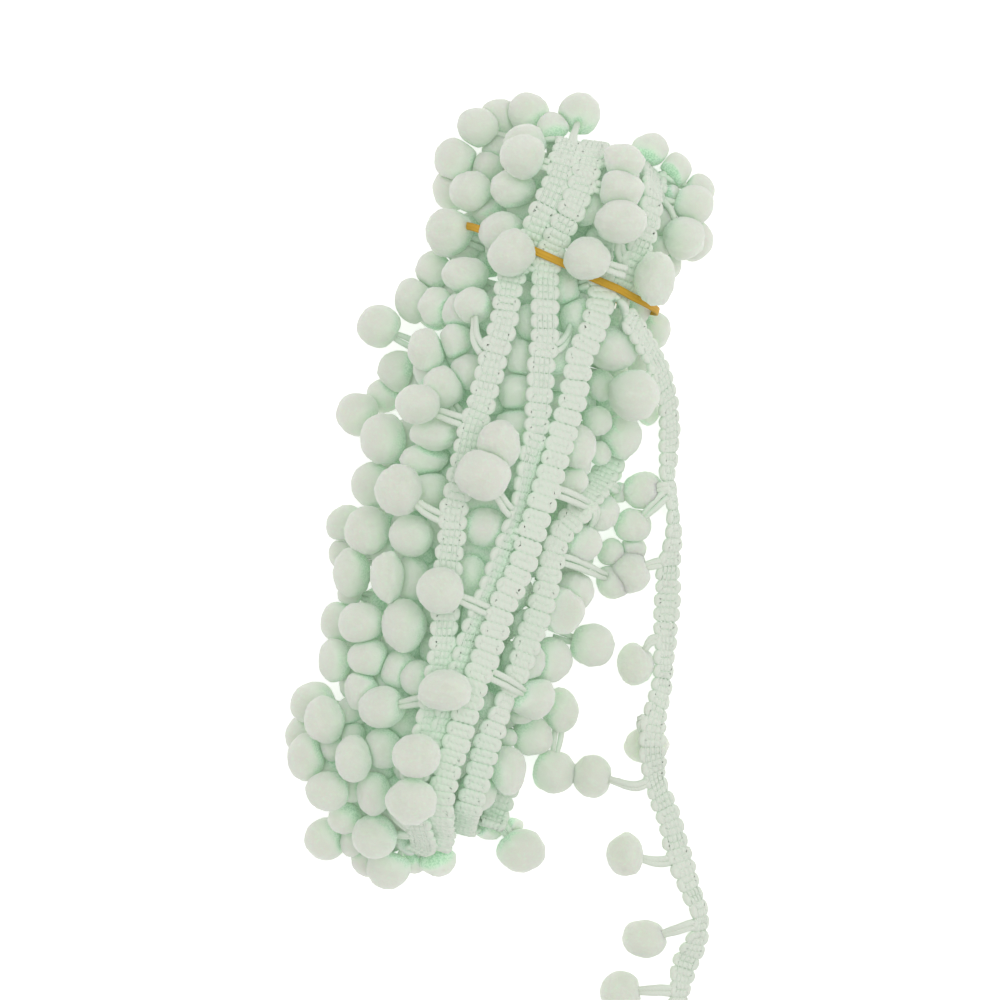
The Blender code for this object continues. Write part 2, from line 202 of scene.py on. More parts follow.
def along_route(route, s, u, w):
    """Places at distance s along a route, u over its width and w out of its face."""
    shape = np.shape(s)
    s, u, w = (np.broadcast_to(row, shape).ravel() for row in (s, u, w))
    place, over, look = (interpolated(s, route["s"], route[key]) for key in ("place", "over", "look"))
    past = s - np.clip(s, route["s"][0], route["s"][-1])
    ahead = np.cross(over, look)
    places = place + over * u[:, None] + look * w[:, None] + ahead * past[:, None]
    return places.reshape(*shape, 3)


def grid_mesh(name, grid, closed):
    """Tubes from places in order of tube, station and side, with UVs in millimetres and turns."""
    resting = np.maximum(grid[..., 2:], TABLE_CLEAR)
    grid = np.concatenate([grid[..., :2], resting], axis=3)
    tubes, stations, sides = grid.shape[:3]
    index = np.arange(tubes * stations * sides).reshape(tubes, stations, sides)
    after = np.roll(index, -1, axis=1)
    if not closed:
        index, after = index[:, :-1], after[:, :-1]
    corners = [index, after, np.roll(after, -1, axis=2), np.roll(index, -1, axis=2)]
    faces = np.stack(corners, axis=-1).reshape(-1, 4).tolist()
    if not closed:
        faces += index[:, 0].tolist() + after[:, -1, ::-1].tolist()
    made = bpy.data.meshes.new(name)
    made.from_pydata(grid.reshape(-1, 3), [], faces)
    middle = grid.mean(2)
    gaps = np.linalg.norm(np.diff(middle, axis=1), axis=2)
    run = np.concatenate([np.zeros((tubes, 1)), np.cumsum(gaps, axis=1)], axis=1) / MM
    if closed:
        last = run[:, -1] + np.linalg.norm(middle[:, 0] - middle[:, -1], axis=1) / MM
        run = np.column_stack([run, last])
    run = run + np.arange(tubes)[:, None] * UV_SHIFT
    near, far = (np.repeat(part[:, :, None], sides, axis=2) for part in (run[:, :-1], run[:, 1:]))
    turn = np.broadcast_to(np.arange(sides) / sides, near.shape)
    u = np.stack([near, far, far, near], axis=-1)
    v = np.stack([turn, turn, turn + 1 / sides, turn + 1 / sides], axis=-1)
    uv = np.zeros((len(made.loops), 2))
    uv[: u.size] = np.column_stack([u.ravel(), v.ravel()])
    made.uv_layers.new(name="UVMap").data.foreach_set("uv", uv.ravel())
    return made


def placed(name, mesh, *finishes):
    """An object of a mesh, in the scene, with its finishes."""
    for finish in finishes:
        mesh.materials.append(finish)
    obj = bpy.data.objects.new(name, mesh)
    bpy.context.scene.collection.objects.link(obj)
    return obj


def joined(name, meshes, finishes):
    """One smooth object of several meshes, each with its own finish."""
    bm = bmesh.new()
    for slot_number, mesh in enumerate(meshes):
        before = len(bm.faces)
        bm.from_mesh(mesh)
        bm.faces.ensure_lookup_table()
        for face in bm.faces[before:]:
            face.material_index = slot_number
            face.smooth = True
    made = bpy.data.meshes.new(name)
    bm.to_mesh(made)
    bm.free()
    return placed(name, made, *finishes)


def flattened(angle, squareness):
    """The cosine and sine of angles round a section, drawn out toward a square."""
    return (np.sign(part) * np.abs(part.round(9)) ** squareness for part in (np.cos(angle), np.sin(angle)))


def lay_rings(route, middles, draw, side):
    """The soft cords laid to and fro in flattened rings round these distances, each ring a closed tube."""
    lanes = np.array(WARP_LANES)
    beside = (lanes, lanes - BESIDE_WARP, lanes + BESIDE_WARP, (lanes[1:] + lanes[:-1]) / 2)
    straight = np.sort(np.concatenate(beside))
    turn = np.radians(TURN_ANGLES)
    flat = np.full(len(straight), RIB_GAP)
    bend = TURN_FROM + TURN_DEPTH * np.cos(turn)
    u = np.concatenate([straight, bend, straight[::-1], -bend])
    v = np.concatenate([flat, RIB_GAP * np.sin(turn), -flat, -RIB_GAP * np.sin(turn)])
    lane_gap = np.abs(u[:, None] - lanes).min(1)
    bound = (lane_gap < 0.5 * BESIDE_WARP).astype(float)
    loose = np.clip(lane_gap / (lanes[1] - lanes[0]) * 2, 0, 1) ** BOUND_EASE
    in_turn = np.abs(u) > TURN_FROM + TURN_MARGIN
    rings, stations = (len(middles), 1), (len(middles), len(u))
    u = u * draw.normal(1, RING_SIZE_VARIES, rings) + draw.normal(0, RING_SHIFT, rings)
    u = u + draw.normal(0, YARN_SHIFT, stations)
    v = v * draw.normal(1, RING_SIZE_VARIES, rings) + u * draw.normal(0, RING_SKEW, rings)
    v = v + draw.normal(0, YARN_SLIP, stations)
    w = draw.normal(0, RING_LIFT, rings) - bound * BOUND_SINK + draw.normal(0, YARN_LIFT, stations)
    s = middles[:, None] + v + draw.normal(0, RING_SPACING, rings)
    along_u = np.roll(u, -1, axis=1) - np.roll(u, 1, axis=1)
    along_s = np.roll(s, -1, axis=1) - np.roll(s, 1, axis=1)
    size = np.hypot(along_u, along_s)
    fat = draw.normal(1, RING_FAT_VARIES, rings) * draw.normal(1, YARN_FAT_VARIES, stations)
    half = np.where(in_turn, RIB_HALF_TURN, RIB_HALF_BOUND + (RIB_HALF - RIB_HALF_BOUND) * loose) * fat
    front = (RIB_FRONT + (RIB_FRONT_BOUND - RIB_FRONT) * bound) * fat
    aside, rise = flattened(2 * math.pi * (np.arange(RIB_SIDES) + 0.5) / RIB_SIDES, RIB_SQUARENESS)
    aside = half[:, :, None] * aside
    aside = np.where((aside < 0) & (rise < BACK_FROM), aside * BACK_MERGE, aside)
    rise = np.where(rise > 0, rise * front[:, :, None], rise * RIB_BACK)
    grid_s = s[:, :, None] + aside * (along_u / size)[:, :, None]
    grid_u = u[:, :, None] - aside * (along_s / size)[:, :, None]
    return along_route(route, grid_s, grid_u * side, (w[:, :, None] + rise) * side)


def lay_warp(route, length, pitch, draw, side):
    """The thin warp threads, which rise over each rib and dip between two."""
    run = np.arange(0, length, pitch / WARP_STATIONS)
    lift = WARP_DIP + (WARP_CREST - WARP_DIP) * np.sin(math.pi * run / (pitch / 2)) ** 2
    knots = run[::SWAY_EVERY]
    sway = np.array([np.interp(run, knots, draw.normal(0, WARP_SWAY, len(knots))) for _ in WARP_LANES])
    quarter = np.array([0, 0.25, 0.5, 0.75]) * 2 * math.pi
    u = np.array(WARP_LANES)[:, None, None] + sway[:, :, None] + WARP_RADIUS * np.cos(quarter)
    w = lift[None, :, None] - WARP_RADIUS * np.sin(quarter)
    s = np.broadcast_to(run[None, :, None], u.shape)
    return along_route(route, s, u * side, w * side)


def weave(name, route, seed, face_up=True):
    """The braid along a route, rings and warp threads in one piece."""
    draw = np.random.default_rng(seed)
    side = 1 if face_up else -1
    count = round(route["s"][-1] / RING_PITCH)
    pitch = route["s"][-1] / count
    middles = (np.arange(count) + 0.5) * pitch
    rings = grid_mesh(name + "_rings", lay_rings(route, middles, draw, side), closed=True)
    warp = grid_mesh(name + "_warp", lay_warp(route, count * pitch, pitch, draw, side), closed=False)
    return joined(name, [rings, warp], [braid_finish, warp_finish])


class Finish:
    """A material that is put together node by node, on its piece's own coordinates."""

    def __init__(self, name, look, roughness, specular, sheen=0.0, sheen_roughness=0.5):
        self.made = bpy.data.materials.new(name)
        self.made.use_nodes = True
        self.made.diffuse_color = look
        self.shader = self.made.node_tree.nodes["Principled BSDF"]
        self.shader.inputs["Roughness"].default_value = roughness
        self.shader.inputs["Specular IOR Level"].default_value = specular
        self.shader.inputs["Sheen Weight"].default_value = sheen
        self.shader.inputs["Sheen Roughness"].default_value = sheen_roughness
        self.where = self.node("TexCoord", {})

    def node(self, kind, inputs, **settings):
        """The outputs of a new node, with its settings made and its inputs linked or set."""
        node = self.made.node_tree.nodes.new("ShaderNode" + kind)
        for setting, value in settings.items():
            setattr(node, setting, value)
        for socket, value in inputs.items():
            if isinstance(value, bpy.types.NodeSocket):
                self.made.node_tree.links.new(value, node.inputs[socket])
            else:
                node.inputs[socket].default_value = value
        return node.outputs

    def link(self, output, socket):
        self.made.node_tree.links.new(output, self.shader.inputs[socket])

    def noise(self, scale, detail):
        inputs = {"Vector": self.where["Object"], "Scale": scale, "Detail": detail}
        return self.node("TexNoise", inputs)["Fac"]

    def ramp(self, factor, low, high):
        """The factor spread so that low gives 0 and high gives 1."""
        inputs = {"Value": factor, "From Min": low, "From Max": high}
        return self.node("MapRange", inputs, interpolation_type="SMOOTHSTEP")["Result"]

    def mixed(self, factor, first, second):
        """A colour mixed from two by a factor."""
        return self.node("Mix", {"Factor": factor, 6: first, 7: second}, data_type="RGBA")[2]

    def bump(self, height, distance, strength, under=None):
        inputs = {"Height": height, "Distance": distance, "Strength": strength}
        if under is not None:
            inputs["Normal"] = under
        return self.node("Bump", inputs)["Normal"]

    def attribute(self, name):
        return self.node("Attribute", {}, attribute_name=name)["Fac"]

    def openness(self, low, high):
        """How open a place lies, spread from low to high."""
        return self.ramp(self.attribute("open_share"), low, high)

    def worked_out(self, operation, *terms):
        return self.node("Math", dict(enumerate(terms)), operation=operation)["Value"]

    def plies(self, number, lay):
        """Plies that wind round a cord, one turn each lay of millimetres, from the cord's own UVs."""
        parts = self.node("SeparateXYZ", {"Vector": self.where["UV"]})
        round_it = self.worked_out("MULTIPLY", parts["Y"], 2 * math.pi * number)
        wound = self.worked_out("MULTIPLY_ADD", parts["X"], 2 * math.pi * number / lay, round_it)
        return self.worked_out("SINE", wound)

    def painted_glow(self, glow):
        """A painted glow: emission that stands in for light seeping through pale fibres into their gaps,
        most where a place lies closest.
        """
        self.link(self.mixed(self.openness(0.1, 0.95), glow, NO_GLOW), "Emission Color")
        self.shader.inputs["Emission Strength"].default_value = 1.0
        self.made.cycles.emission_sampling = "NONE"


def yarn_material(name, pale, plies, lay):
    """Soft spun yarn: plies that wind round it and fibres across them, with painted shade of deeper mint and
    a painted glow where it lies close among its neighbours.
    """
    finish = Finish(name, pale, roughness=0.95, specular=0.15, sheen=0.15, sheen_roughness=0.6)
    patches = finish.ramp(finish.noise(scale=420, detail=3), 0.3, 0.7)
    fibres = finish.noise(scale=4600, detail=4)
    wound = finish.plies(plies, lay)
    tinted = tuple(0.65 * p + 0.35 * m for p, m in zip(pale, YARN_MINT))
    full = finish.mixed(patches, pale, tinted)
    # Painted shade: the yarn turns mint, then deep green, where it lies close among its neighbours.
    full = finish.mixed(finish.openness(0.25, 0.9), YARN_MINT, full)
    colour = finish.mixed(finish.openness(0.05, 0.5), YARN_PAINTED_SHADE, full)
    colour = finish.mixed(finish.ramp(fibres, 0.32, 0.55), YARN_MINT, colour)
    colour = finish.mixed(finish.ramp(wound, -1.1, -0.3), YARN_MINT, colour)
    finish.link(colour, "Base Color")
    grain = finish.bump(wound, distance=0.035 * MM, strength=0.6)
    finish.link(finish.bump(fibres, distance=0.1 * MM, strength=0.5, under=grain), "Normal")
    # Painted glow in the same close places.
    finish.painted_glow(YARN_PAINTED_GLOW)
    return finish.made


braid_finish = yarn_material("mint_braid_yarn", YARN_PALE, plies=5, lay=6.0)
warp_finish = yarn_material("mint_warp_thread", WARP_PALE, plies=2, lay=0.9)

loose_route = make_route([(s.x * MM, s.y * MM, s.height * MM, s.lean) for s in LOOSE_ROUTE])
loose_tape = weave("loose_tape_weave", loose_route, seed=11)
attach(loose_tape, "root")
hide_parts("loose_tape")

# ---------------------------------------------------------------------------------------------
# The pompoms of the loose end. Each is a tuft of mint acrylic pile on the doubled yarn that ties
# its middle, and the two ends of that yarn, side by side, are its stem, caught in the braid's edge.
STRAND_RADIUS = 0.7 * MM
STRAND_APART = 1.45 * MM
STRAND_APART_LOOSE = 1.1 * MM
STRAND_SIDES = 8
STRAND_STATIONS = 10
STRAND_TAPER = (1.0, 1.05, 0.95, 0.72)
STRAND_SPREAD = (0.56, 0.5, 0.34)  # at the root, halfway and in the pile, as shares of the distance apart
STRAND_WANDER = 0.04 * MM
STEM_CURVE_STEPS = 24
STEM_LEAVES = 0.4  # how far it keeps its first way, as a share of the straight distance
STEM_ARRIVES = 0.45
STEM_MEETS = 0.86  # of the pompom's half size, where the stem goes into the pile
STEM_ENDS = 0.7  # of the distance at which it goes in
OFF_AXIS = (0.31, 0.22, 0.92)  # a direction that no cord runs in
BALL_SUBDIVISIONS = 5
NAVEL_DEPTH = 0.2  # how far the tie draws the pile in where the stem enters, as a share
NAVEL_WIDE = 0.34  # radians
PRESS_SOFT = 0.09  # how softly the pile gives way round a pressed flat, as a share of its half size
PRESS_TAIL = 4  # of those soft widths, past which nothing moves
PILE_CLEAR = 0.2 * MM
LUMP_PHASE = 6.3  # radians
TONE_SEED = 5
LOOSE_TUFT_SEED = 300
LOOSE_STEM_SEED = 400
RESTING_FLAT = 0.9  # of the half height, where the table flattens a pompom

Lumps = namedtuple("Lumps", "number height least most")  # height as a share, least and most waves
LUMPS = (
    Lumps(number=10, height=0.013, least=2.0, most=6.0),
    Lumps(number=12, height=0.0045, least=8.0, most=14.0),
    Lumps(number=26, height=0.0022, least=18.0, most=40.0),
)
TailPompom = namedtuple("TailPompom", "x y wide long tall root_y")
TAIL_POMPOMS = [
    TailPompom(x=33.2, y=10.3, wide=9.3, long=8.5, tall=8.6, root_y=12.6),
    TailPompom(x=35.1, y=-8.4, wide=9.4, long=9.4, tall=9.0, root_y=-4.0),
    TailPompom(x=41.5, y=-28.2, wide=8.6, long=9.7, tall=8.2, root_y=-21.5),
    TailPompom(x=48.6, y=-45.3, wide=10.4, long=8.2, tall=5.8, root_y=-39.5),
    TailPompom(x=38.6, y=-55.0, wide=9.0, long=9.8, tall=9.0, root_y=-51.4),
    TailPompom(x=50.3, y=-70.2, wide=8.6, long=9.6, tall=9.0, root_y=-68.0),
    TailPompom(x=59.2, y=-87.4, wide=10.3, long=8.5, tall=8.8, root_y=-81.2),
    TailPompom(x=57.1, y=-100.4, wide=9.4, long=9.2, tall=9.2, root_y=-97.5),
]
PILE_GREY = (0.725, 0.71, 0.655, 1.0)
PILE_PALE = (0.71, 0.72, 0.65, 1.0)
# The mint colour is the pile's own fibre mottling, and also a painted half shade where the pile lies less
# open. The deep colour and the darker streaked colour after it are painted shade for places that tufts close
# in on.
PILE_MINT = (0.69, 0.77, 0.665, 1.0)
PILE_PAINTED_SHADE = (0.64, 0.87, 0.675, 1.0)
PILE_PAINTED_DARK_SHADE = (0.44, 0.71, 0.5, 1.0)
# The seep colour is a painted glow, emission laid into the pile's closest gaps.
PILE_PAINTED_GLOW = (0.06, 0.066, 0.057, 1.0)

TuftShape = namedtuple("TuftShape", "middle half_sizes presses stem_way seed")  # presses: (way, distance)


def ball_template(subdivisions):
    bm = bmesh.new()
    bmesh.ops.create_icosphere(bm, subdivisions=subdivisions, radius=1.0)
    mesh = bpy.data.meshes.new("ball")
    bm.to_mesh(mesh)
    bm.free()
    way = np.empty(len(mesh.vertices) * 3)
    mesh.vertices.foreach_get("co", way)
    return mesh, unit(way.reshape(-1, 3))


TEMPLATES = {level: ball_template(level) for level in (3, 4, 5)}


def tuft_surface(way, tuft):
    """A pompom's surface about its middle, with its presses' flats and the navel where its stem goes in."""
    draw = np.random.default_rng(tuft.seed)
    swell = np.zeros(len(way))
    for lumps in LUMPS:
        for _ in range(lumps.number):
            bearing = unit(draw.normal(size=3))
            high = lumps.height * draw.normal()
            waves = draw.uniform(lumps.least, lumps.most)
            swell += high * np.cos(waves * (way @ bearing) + draw.uniform(0, LUMP_PHASE))
    swell -= NAVEL_DEPTH * np.exp(-(np.arccos(np.clip(way @ tuft.stem_way, -1, 1)) / NAVEL_WIDE) ** 2)
    right, up = np.array(camera_right), np.array(camera_up)
    places = (
        np.outer(way @ right, right) * tuft.half_sizes[0]
        + np.outer(way @ up, up) * tuft.half_sizes[1]
        + np.outer(way[:, 2], [0, 0, 1]) * tuft.half_sizes[2]
    ) * (1 + swell)[:, None]
    soft = PRESS_SOFT * float(np.mean(tuft.half_sizes))
    for normal, distance in tuft.presses:
        out = places @ normal - distance
        over = np.where(out > -PRESS_TAIL * soft, soft * np.logaddexp(0, out / soft), 0)
        places = places - np.outer(over, normal)
    return places


def tufts(name, shapes, subdivisions, finish):
    """One piece of many pompoms, each with its own tone of mint."""
    ball, way = TEMPLATES[subdivisions]
    bm = bmesh.new()
    for _ in shapes:
        bm.from_mesh(ball)
    made = bpy.data.meshes.new(name)
    bm.to_mesh(made)
    bm.free()
    places, tones = [], []
    for tuft in shapes:
        surface = tuft_surface(way, tuft) + np.array(tuft.middle)
        surface[:, 2] = np.maximum(surface[:, 2], PILE_CLEAR)
        places.append(surface)
        tones.append(np.full(len(way), np.random.default_rng(tuft.seed + TONE_SEED).uniform()))
    made.vertices.foreach_set("co", np.vstack(places).ravel())
    tone = made.attributes.new("tone", "FLOAT", "POINT")
    tone.data.foreach_set("value", np.concatenate(tones).astype(np.float32))
    made.shade_smooth()
    return placed(name, made, finish)


def pile_material(name):
    """Brushed acrylic pile, pale grey in random tones with fine mint mottling; painted shade turns it mint
    and then deep green, with a painted glow, where the tufts press close together.
    """
    finish = Finish(name, PILE_PALE, roughness=1.0, specular=0.1, sheen=0.15, sheen_roughness=0.5)
    clumps = finish.noise(scale=1300, detail=3)
    fibres = finish.noise(scale=4600, detail=5)
    strands = finish.noise(scale=2400, detail=5)
    drift = finish.ramp(finish.noise(scale=240, detail=2), 0.35, 0.65)
    full = finish.mixed(finish.attribute("tone"), PILE_GREY, PILE_PALE)
    full = finish.mixed(drift, full, PILE_PALE)
    full = finish.mixed(finish.ramp(fibres, 0.3, 0.55), PILE_MINT, full)
    full = finish.mixed(finish.ramp(clumps, 0.3, 0.48), PILE_MINT, full)
    # Painted shade: the pile turns mint, then deep green streaked darker, where it lies close among the
    # tufts.
    painted_shade = finish.mixed(finish.ramp(strands, 0.42, 0.56), PILE_PAINTED_DARK_SHADE, PILE_PAINTED_SHADE)
    colour = finish.mixed(finish.openness(0.15, 0.95), PILE_MINT, full)
    finish.link(finish.mixed(finish.openness(0.0, 0.4), painted_shade, colour), "Base Color")
    finish.shader.inputs["Subsurface Weight"].default_value = 0.85
    finish.shader.inputs["Subsurface Radius"].default_value = (0.9, 1.0, 0.8)
    finish.shader.inputs["Subsurface Scale"].default_value = 5.0 * MM
    clumpy = finish.bump(clumps, distance=0.35 * MM, strength=0.4)
    finish.link(finish.bump(fibres, distance=0.2 * MM, strength=0.6, under=clumpy), "Normal")
    # Painted glow in the same close places.
    finish.painted_glow(PILE_PAINTED_GLOW)
    return finish.made


def tube_grid(paths, radii, sides):
    """Places round each station of round cords that all have the same number of stations."""
    angle = 2 * math.pi * np.arange(sides) / sides
    grids = []
    for path, radius in zip(paths, radii):
        ahead = unit(np.gradient(path, axis=0))
        first = unit(np.cross(ahead, OFF_AXIS))
        second = np.cross(first, ahead)
        turned = first[:, None] * np.cos(angle)[:, None] + second[:, None] * np.sin(angle)[:, None]
        grids.append(path[:, None] + radius[:, None, None] * turned)
    return np.array(grids)


def stem_strands(root, root_way, middle, reach, side, seed, dip=0.0, apart=STRAND_APART):
    """The two strands from a braid's edge into a pompom, as rows of places, and the way they enter it."""
    draw = np.random.default_rng(seed)
    gap = np.linalg.norm(middle - root)
    first = root + root_way * gap * STEM_LEAVES
    second = middle + (root - middle) * STEM_ARRIVES - (0, 0, dip)
    t = np.linspace(0, 1, STEM_CURVE_STEPS)[:, None]
    path = root * (1 - t) ** 3 + 3 * first * t * (1 - t) ** 2 + 3 * second * t**2 * (1 - t) + middle * t**3
    outside = np.linalg.norm(path - middle, axis=1) > reach
    if outside.sum() < 2:
        return [], unit(root - middle)
    enters = unit(path[outside][-1] - middle)
    path = np.vstack([path[outside], middle + enters * reach * STEM_ENDS])
    travelled = distances(path)
    wanted = np.linspace(0, travelled[-1], STRAND_STATIONS)
    path = interpolated(wanted, travelled, path)
    spread = np.interp(wanted / wanted[-1], [0, 0.5, 1], STRAND_SPREAD) * apart
    wander = np.cumsum(draw.normal(0, STRAND_WANDER, (STRAND_STATIONS, 3)), axis=0)
    return [path + side * spread[:, None] + wander, path - side * spread[:, None] + wander], enters


def stem_piece(name, strands):
    taper_at = np.linspace(0, 1, len(STRAND_TAPER))
    taper = np.interp(np.linspace(0, 1, STRAND_STATIONS), taper_at, STRAND_TAPER)
    grid = tube_grid(strands, [taper * STRAND_RADIUS] * len(strands), STRAND_SIDES)
    return joined(name, [grid_mesh(name, grid, closed=False)], [stem_finish])


pile_finish = pile_material("mint_pile")
stem_finish = yarn_material("mint_stem_yarn", YARN_PALE, plies=4, lay=3.0)
loose_places, loose_overs = loose_route["place"], loose_route["over"]
loose_pompoms = []
for number, row in enumerate(TAIL_POMPOMS, start=1):
    at = int(np.argmin(np.abs(loose_places[:, 1] - row.root_y * MM)))
    inner = -loose_overs[at]
    root = loose_places[at] + inner * (TAPE_WIDTH / 2 - STRAND_RADIUS)
    middle = np.array((row.x, row.y, row.tall / 2)) * MM
    half = np.array((row.wide, row.long, row.tall)) / 2 * MM
    side = unit(loose_places[at + 1] - loose_places[at - 1])
    reach = half[0] * STEM_MEETS
    seed = LOOSE_STEM_SEED + number
    strands, enters = stem_strands(root, inner, middle, reach, side, seed, apart=STRAND_APART_LOOSE)
    presses = [(np.array((0.0, 0.0, -1.0)), half[2] * RESTING_FLAT)]
    shape = TuftShape(middle, half, presses, enters, LOOSE_TUFT_SEED + number)
    ball = tufts(f"ball_{number}", [shape], BALL_SUBDIVISIONS, pile_finish)
    if strands:
        stem = stem_piece(f"stem_{number}", strands)
        with bpy.context.temp_override(active_object=ball, selected_editable_objects=[ball, stem]):
            bpy.ops.object.join()
    ball.name = f"loose_pompom_{number}"
    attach(ball, "root")
    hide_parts(f"tail_pompom_{number}")
    loose_pompoms.append(ball)

# ---------------------------------------------------------------------------------------------
# The wound braid. The trim is folded to and fro into a long flat hank, so its braid lies in runs
# along the top, turns down over both ends and comes back underneath. The runs are held only by
# their own soft weight and by the elastic.
FORM_UNDERSIDE = 0.08  # the share of the form's height that the table presses away
FORM_LOOK_HEIGHT = 25 * MM  # about how high the form's top lies
BAND_ALONG = 53.4 * MM
BAND_TILT = math.radians(-9.6)
BAND_PINCH = 1.5  # millimetres that the elastic presses a run down
PINCH_REACH = 5.0 * MM
UNDER_BAND_RISE = 1.4 * MM  # how far a run underneath rises to pass over the elastic
UNDER_BAND_BELOW = 2.5  # millimetres, the height under which it does

Section = namedtuple("Section", "along middle half_width top")
SECTIONS = [
    Section(along=-83, middle=-7.0, half_width=9.0, top=15.0),
    Section(along=-77, middle=-5.0, half_width=17.0, top=22.0),
    Section(along=-66, middle=-4.0, half_width=22.0, top=27.5),
    Section(along=-46, middle=-1.5, half_width=24.0, top=30.5),
    Section(along=-20, middle=-1.0, half_width=25.5, top=32.5),
    Section(along=8, middle=-2.0, half_width=25.0, top=32.5),
    Section(along=32, middle=-2.5, half_width=24.0, top=31.0),
    Section(along=46, middle=0.0, half_width=23.0, top=28.0),
    Section(along=53, middle=1.5, half_width=22.0, top=26.5),
    Section(along=64, middle=2.0, half_width=24.0, top=28.0),
    Section(along=76, middle=1.0, half_width=20.5, top=25.0),
    Section(along=84, middle=-1.0, half_width=11.0, top=17.0),
]
SECTION_ROWS = np.array(SECTIONS) * MM


def section(along):
    """Middle, half width and top of the wound form at a place along it."""
    return [float(np.interp(along, SECTION_ROWS[:, 0], SECTION_ROWS[:, column])) for column in (1, 2, 3)]


def top_height(x, y):
    middle, half_width, top = section(y)
    half_height = top / 2 / (1 - FORM_UNDERSIDE)
    reach = min(abs(x - middle) / half_width, 1.0)
    return top - half_height + half_height * math.sqrt(1 - reach**2)


def form_point(along, around, sink=0.0):
    """A place on the wound form's surface, or under it by the sink. 0 is the +X side, 90 degrees the top."""
    middle, half_width, top = section(along)
    half_height = top / 2 / (1 - FORM_UNDERSIDE)
    x = middle + (half_width - sink) * math.cos(around)
    z = top - half_height + (half_height - sink) * math.sin(around)
    return Vector((x, along, z))


def on_top(across, down, rise):
    """The place that the camera sees at a pixel, at a rise in millimetres over the form's top."""
    place = spot(across, down, FORM_LOOK_HEIGHT)
    for _ in range(3):
        place = spot(across, down, top_height(place.x, place.y) + rise * MM)
    return place


# A run's stops are seen from above, over the form's top, or lie underneath and at the hank's ends.
Seen = namedtuple("Seen", "across down rise lean", defaults=(0,))
Under = namedtuple("Under", "x y height lean", defaults=(0,))
RUN_LEFT = [
    Under(-9.0, 66.0, 1.2), Under(-6.0, 75.5, 2.0), Under(-3.6, 80.4, 6.5), Under(-3.2, 80.2, 13.5),
    Seen(569, 143, -2.2), Seen(562, 163, 0.2), Seen(556, 183, 0.2), Seen(547, 205, 0.0),
    Seen(540, 218, 0.0), Seen(535, 232, 0.0), Seen(527, 250, -0.2, lean=5), Seen(516, 268, -0.2),
    Seen(510, 283, -0.2), Seen(504, 320, -0.2, lean=-5), Seen(493, 357, -0.2), Seen(483, 400, -0.2, lean=4),
    Seen(473, 428, -0.2), Seen(463, 470, -0.2), Seen(455, 507, -0.2), Seen(451, 540, -0.2, lean=-6),
    Seen(447, 580, -0.2), Seen(443, 640, -0.4, lean=20), Seen(437, 680, -0.6, lean=30),
    Seen(429, 713, -0.6, lean=40), Seen(424, 736, -0.6, lean=34), Seen(416, 765, -0.6, lean=14),
    Seen(413, 795, -0.4), Seen(416, 818, -0.4), Seen(420, 833, -1.6), Seen(424, 845, -4.5),
    Under(4.4, -80.6, 9.0), Under(4.0, -80.8, 5.0), Under(2.0, -77.0, 2.0), Under(-4.0, -66.0, 0.95),
    Under(-9.0, -45.0, 0.95), Under(-6.5, -20.0, 0.95), Under(-10.0, 5.0, 0.95), Under(-11.0, 30.0, 0.95),
]
RUN_MIDDLE = [
    Under(4.0, 62.0, 1.2), Under(4.5, 75.5, 1.9), Under(3.9, 80.8, 6.5), Under(3.4, 80.6, 13.5),
    Seen(594, 145, -2.0, lean=-8), Seen(586, 172, 0.5, lean=-4), Seen(580, 190, 0.5), Seen(572, 210, 0.4),
    Seen(562, 230, 0.4), Seen(552, 250, 0.2), Seen(546, 275, -0.2), Seen(545, 300, -0.2, lean=5),
    Seen(545, 333, -0.2, lean=8), Seen(542, 360, -0.3, lean=14), Seen(540, 390, -0.4, lean=20),
    Seen(536, 430, -0.6, lean=32), Seen(529, 460, -0.8, lean=44), Seen(522, 492, -1.0, lean=58),
    Seen(516, 512, -1.1, lean=66), Seen(508, 535, -1.1, lean=54), Seen(498, 563, -1.1, lean=48),
    Seen(484, 600, -1.3, lean=46), Seen(467, 645, -1.5, lean=40), Seen(456, 690, -1.6, lean=30),
    Seen(445, 722, -1.6, lean=24), Seen(437, 756, -1.8, lean=20), Seen(434, 790, -2.4),
    Seen(441, 815, -2.6), Under(5.6, -74.2, 10.0), Under(5.6, -75.6, 5.0), Under(5.6, -72.5, 1.7),
    Under(5.0, -62.0, 0.95), Under(1.0, -40.0, 0.95), Under(3.0, -12.0, 0.95), Under(0.0, 16.0, 0.95),
    Under(-1.0, 40.0, 0.95),
]
RUN_RIGHT = [
    Under(15.0, 60.0, 1.2), Under(14.0, 71.0, 2.0), Under(13.0, 77.0, 6.0), Under(12.6, 77.6, 10.5),
    Seen(628, 165, -10.0), Seen(615, 195, -9.5), Seen(604, 228, -8.0), Seen(598, 255, -4.6),
    Seen(600, 275, -1.4), Seen(602, 297, -0.2), Seen(597, 318, 0.3), Seen(589, 338, 0.5),
    Seen(580, 357, 0.6), Seen(574, 393, 0.6), Seen(564, 430, 0.6), Seen(555, 460, 0.7), Seen(545, 493, 0.8),
    Seen(535, 525, 0.8), Seen(521, 567, 0.8, lean=-4), Seen(502, 607, 0.8), Seen(492, 640, 0.8, lean=4),
    Seen(478, 675, 0.6), Seen(468, 705, 0.4), Seen(458, 738, 0.2), Seen(450, 762, 0.2), Seen(443, 785, 0.0),
    Seen(440, 806, 0.0), Seen(440, 822, -0.6), Seen(442, 836, -3.0), Under(8.6, -78.2, 11.0),
    Under(8.4, -79.0, 6.4), Under(7.6, -76.0, 2.6), Under(6.0, -69.0, 2.6), Under(9.0, -45.0, 0.95),
    Under(11.0, -18.0, 0.95), Under(9.0, 10.0, 0.95), Under(12.0, 38.0, 0.95),
]
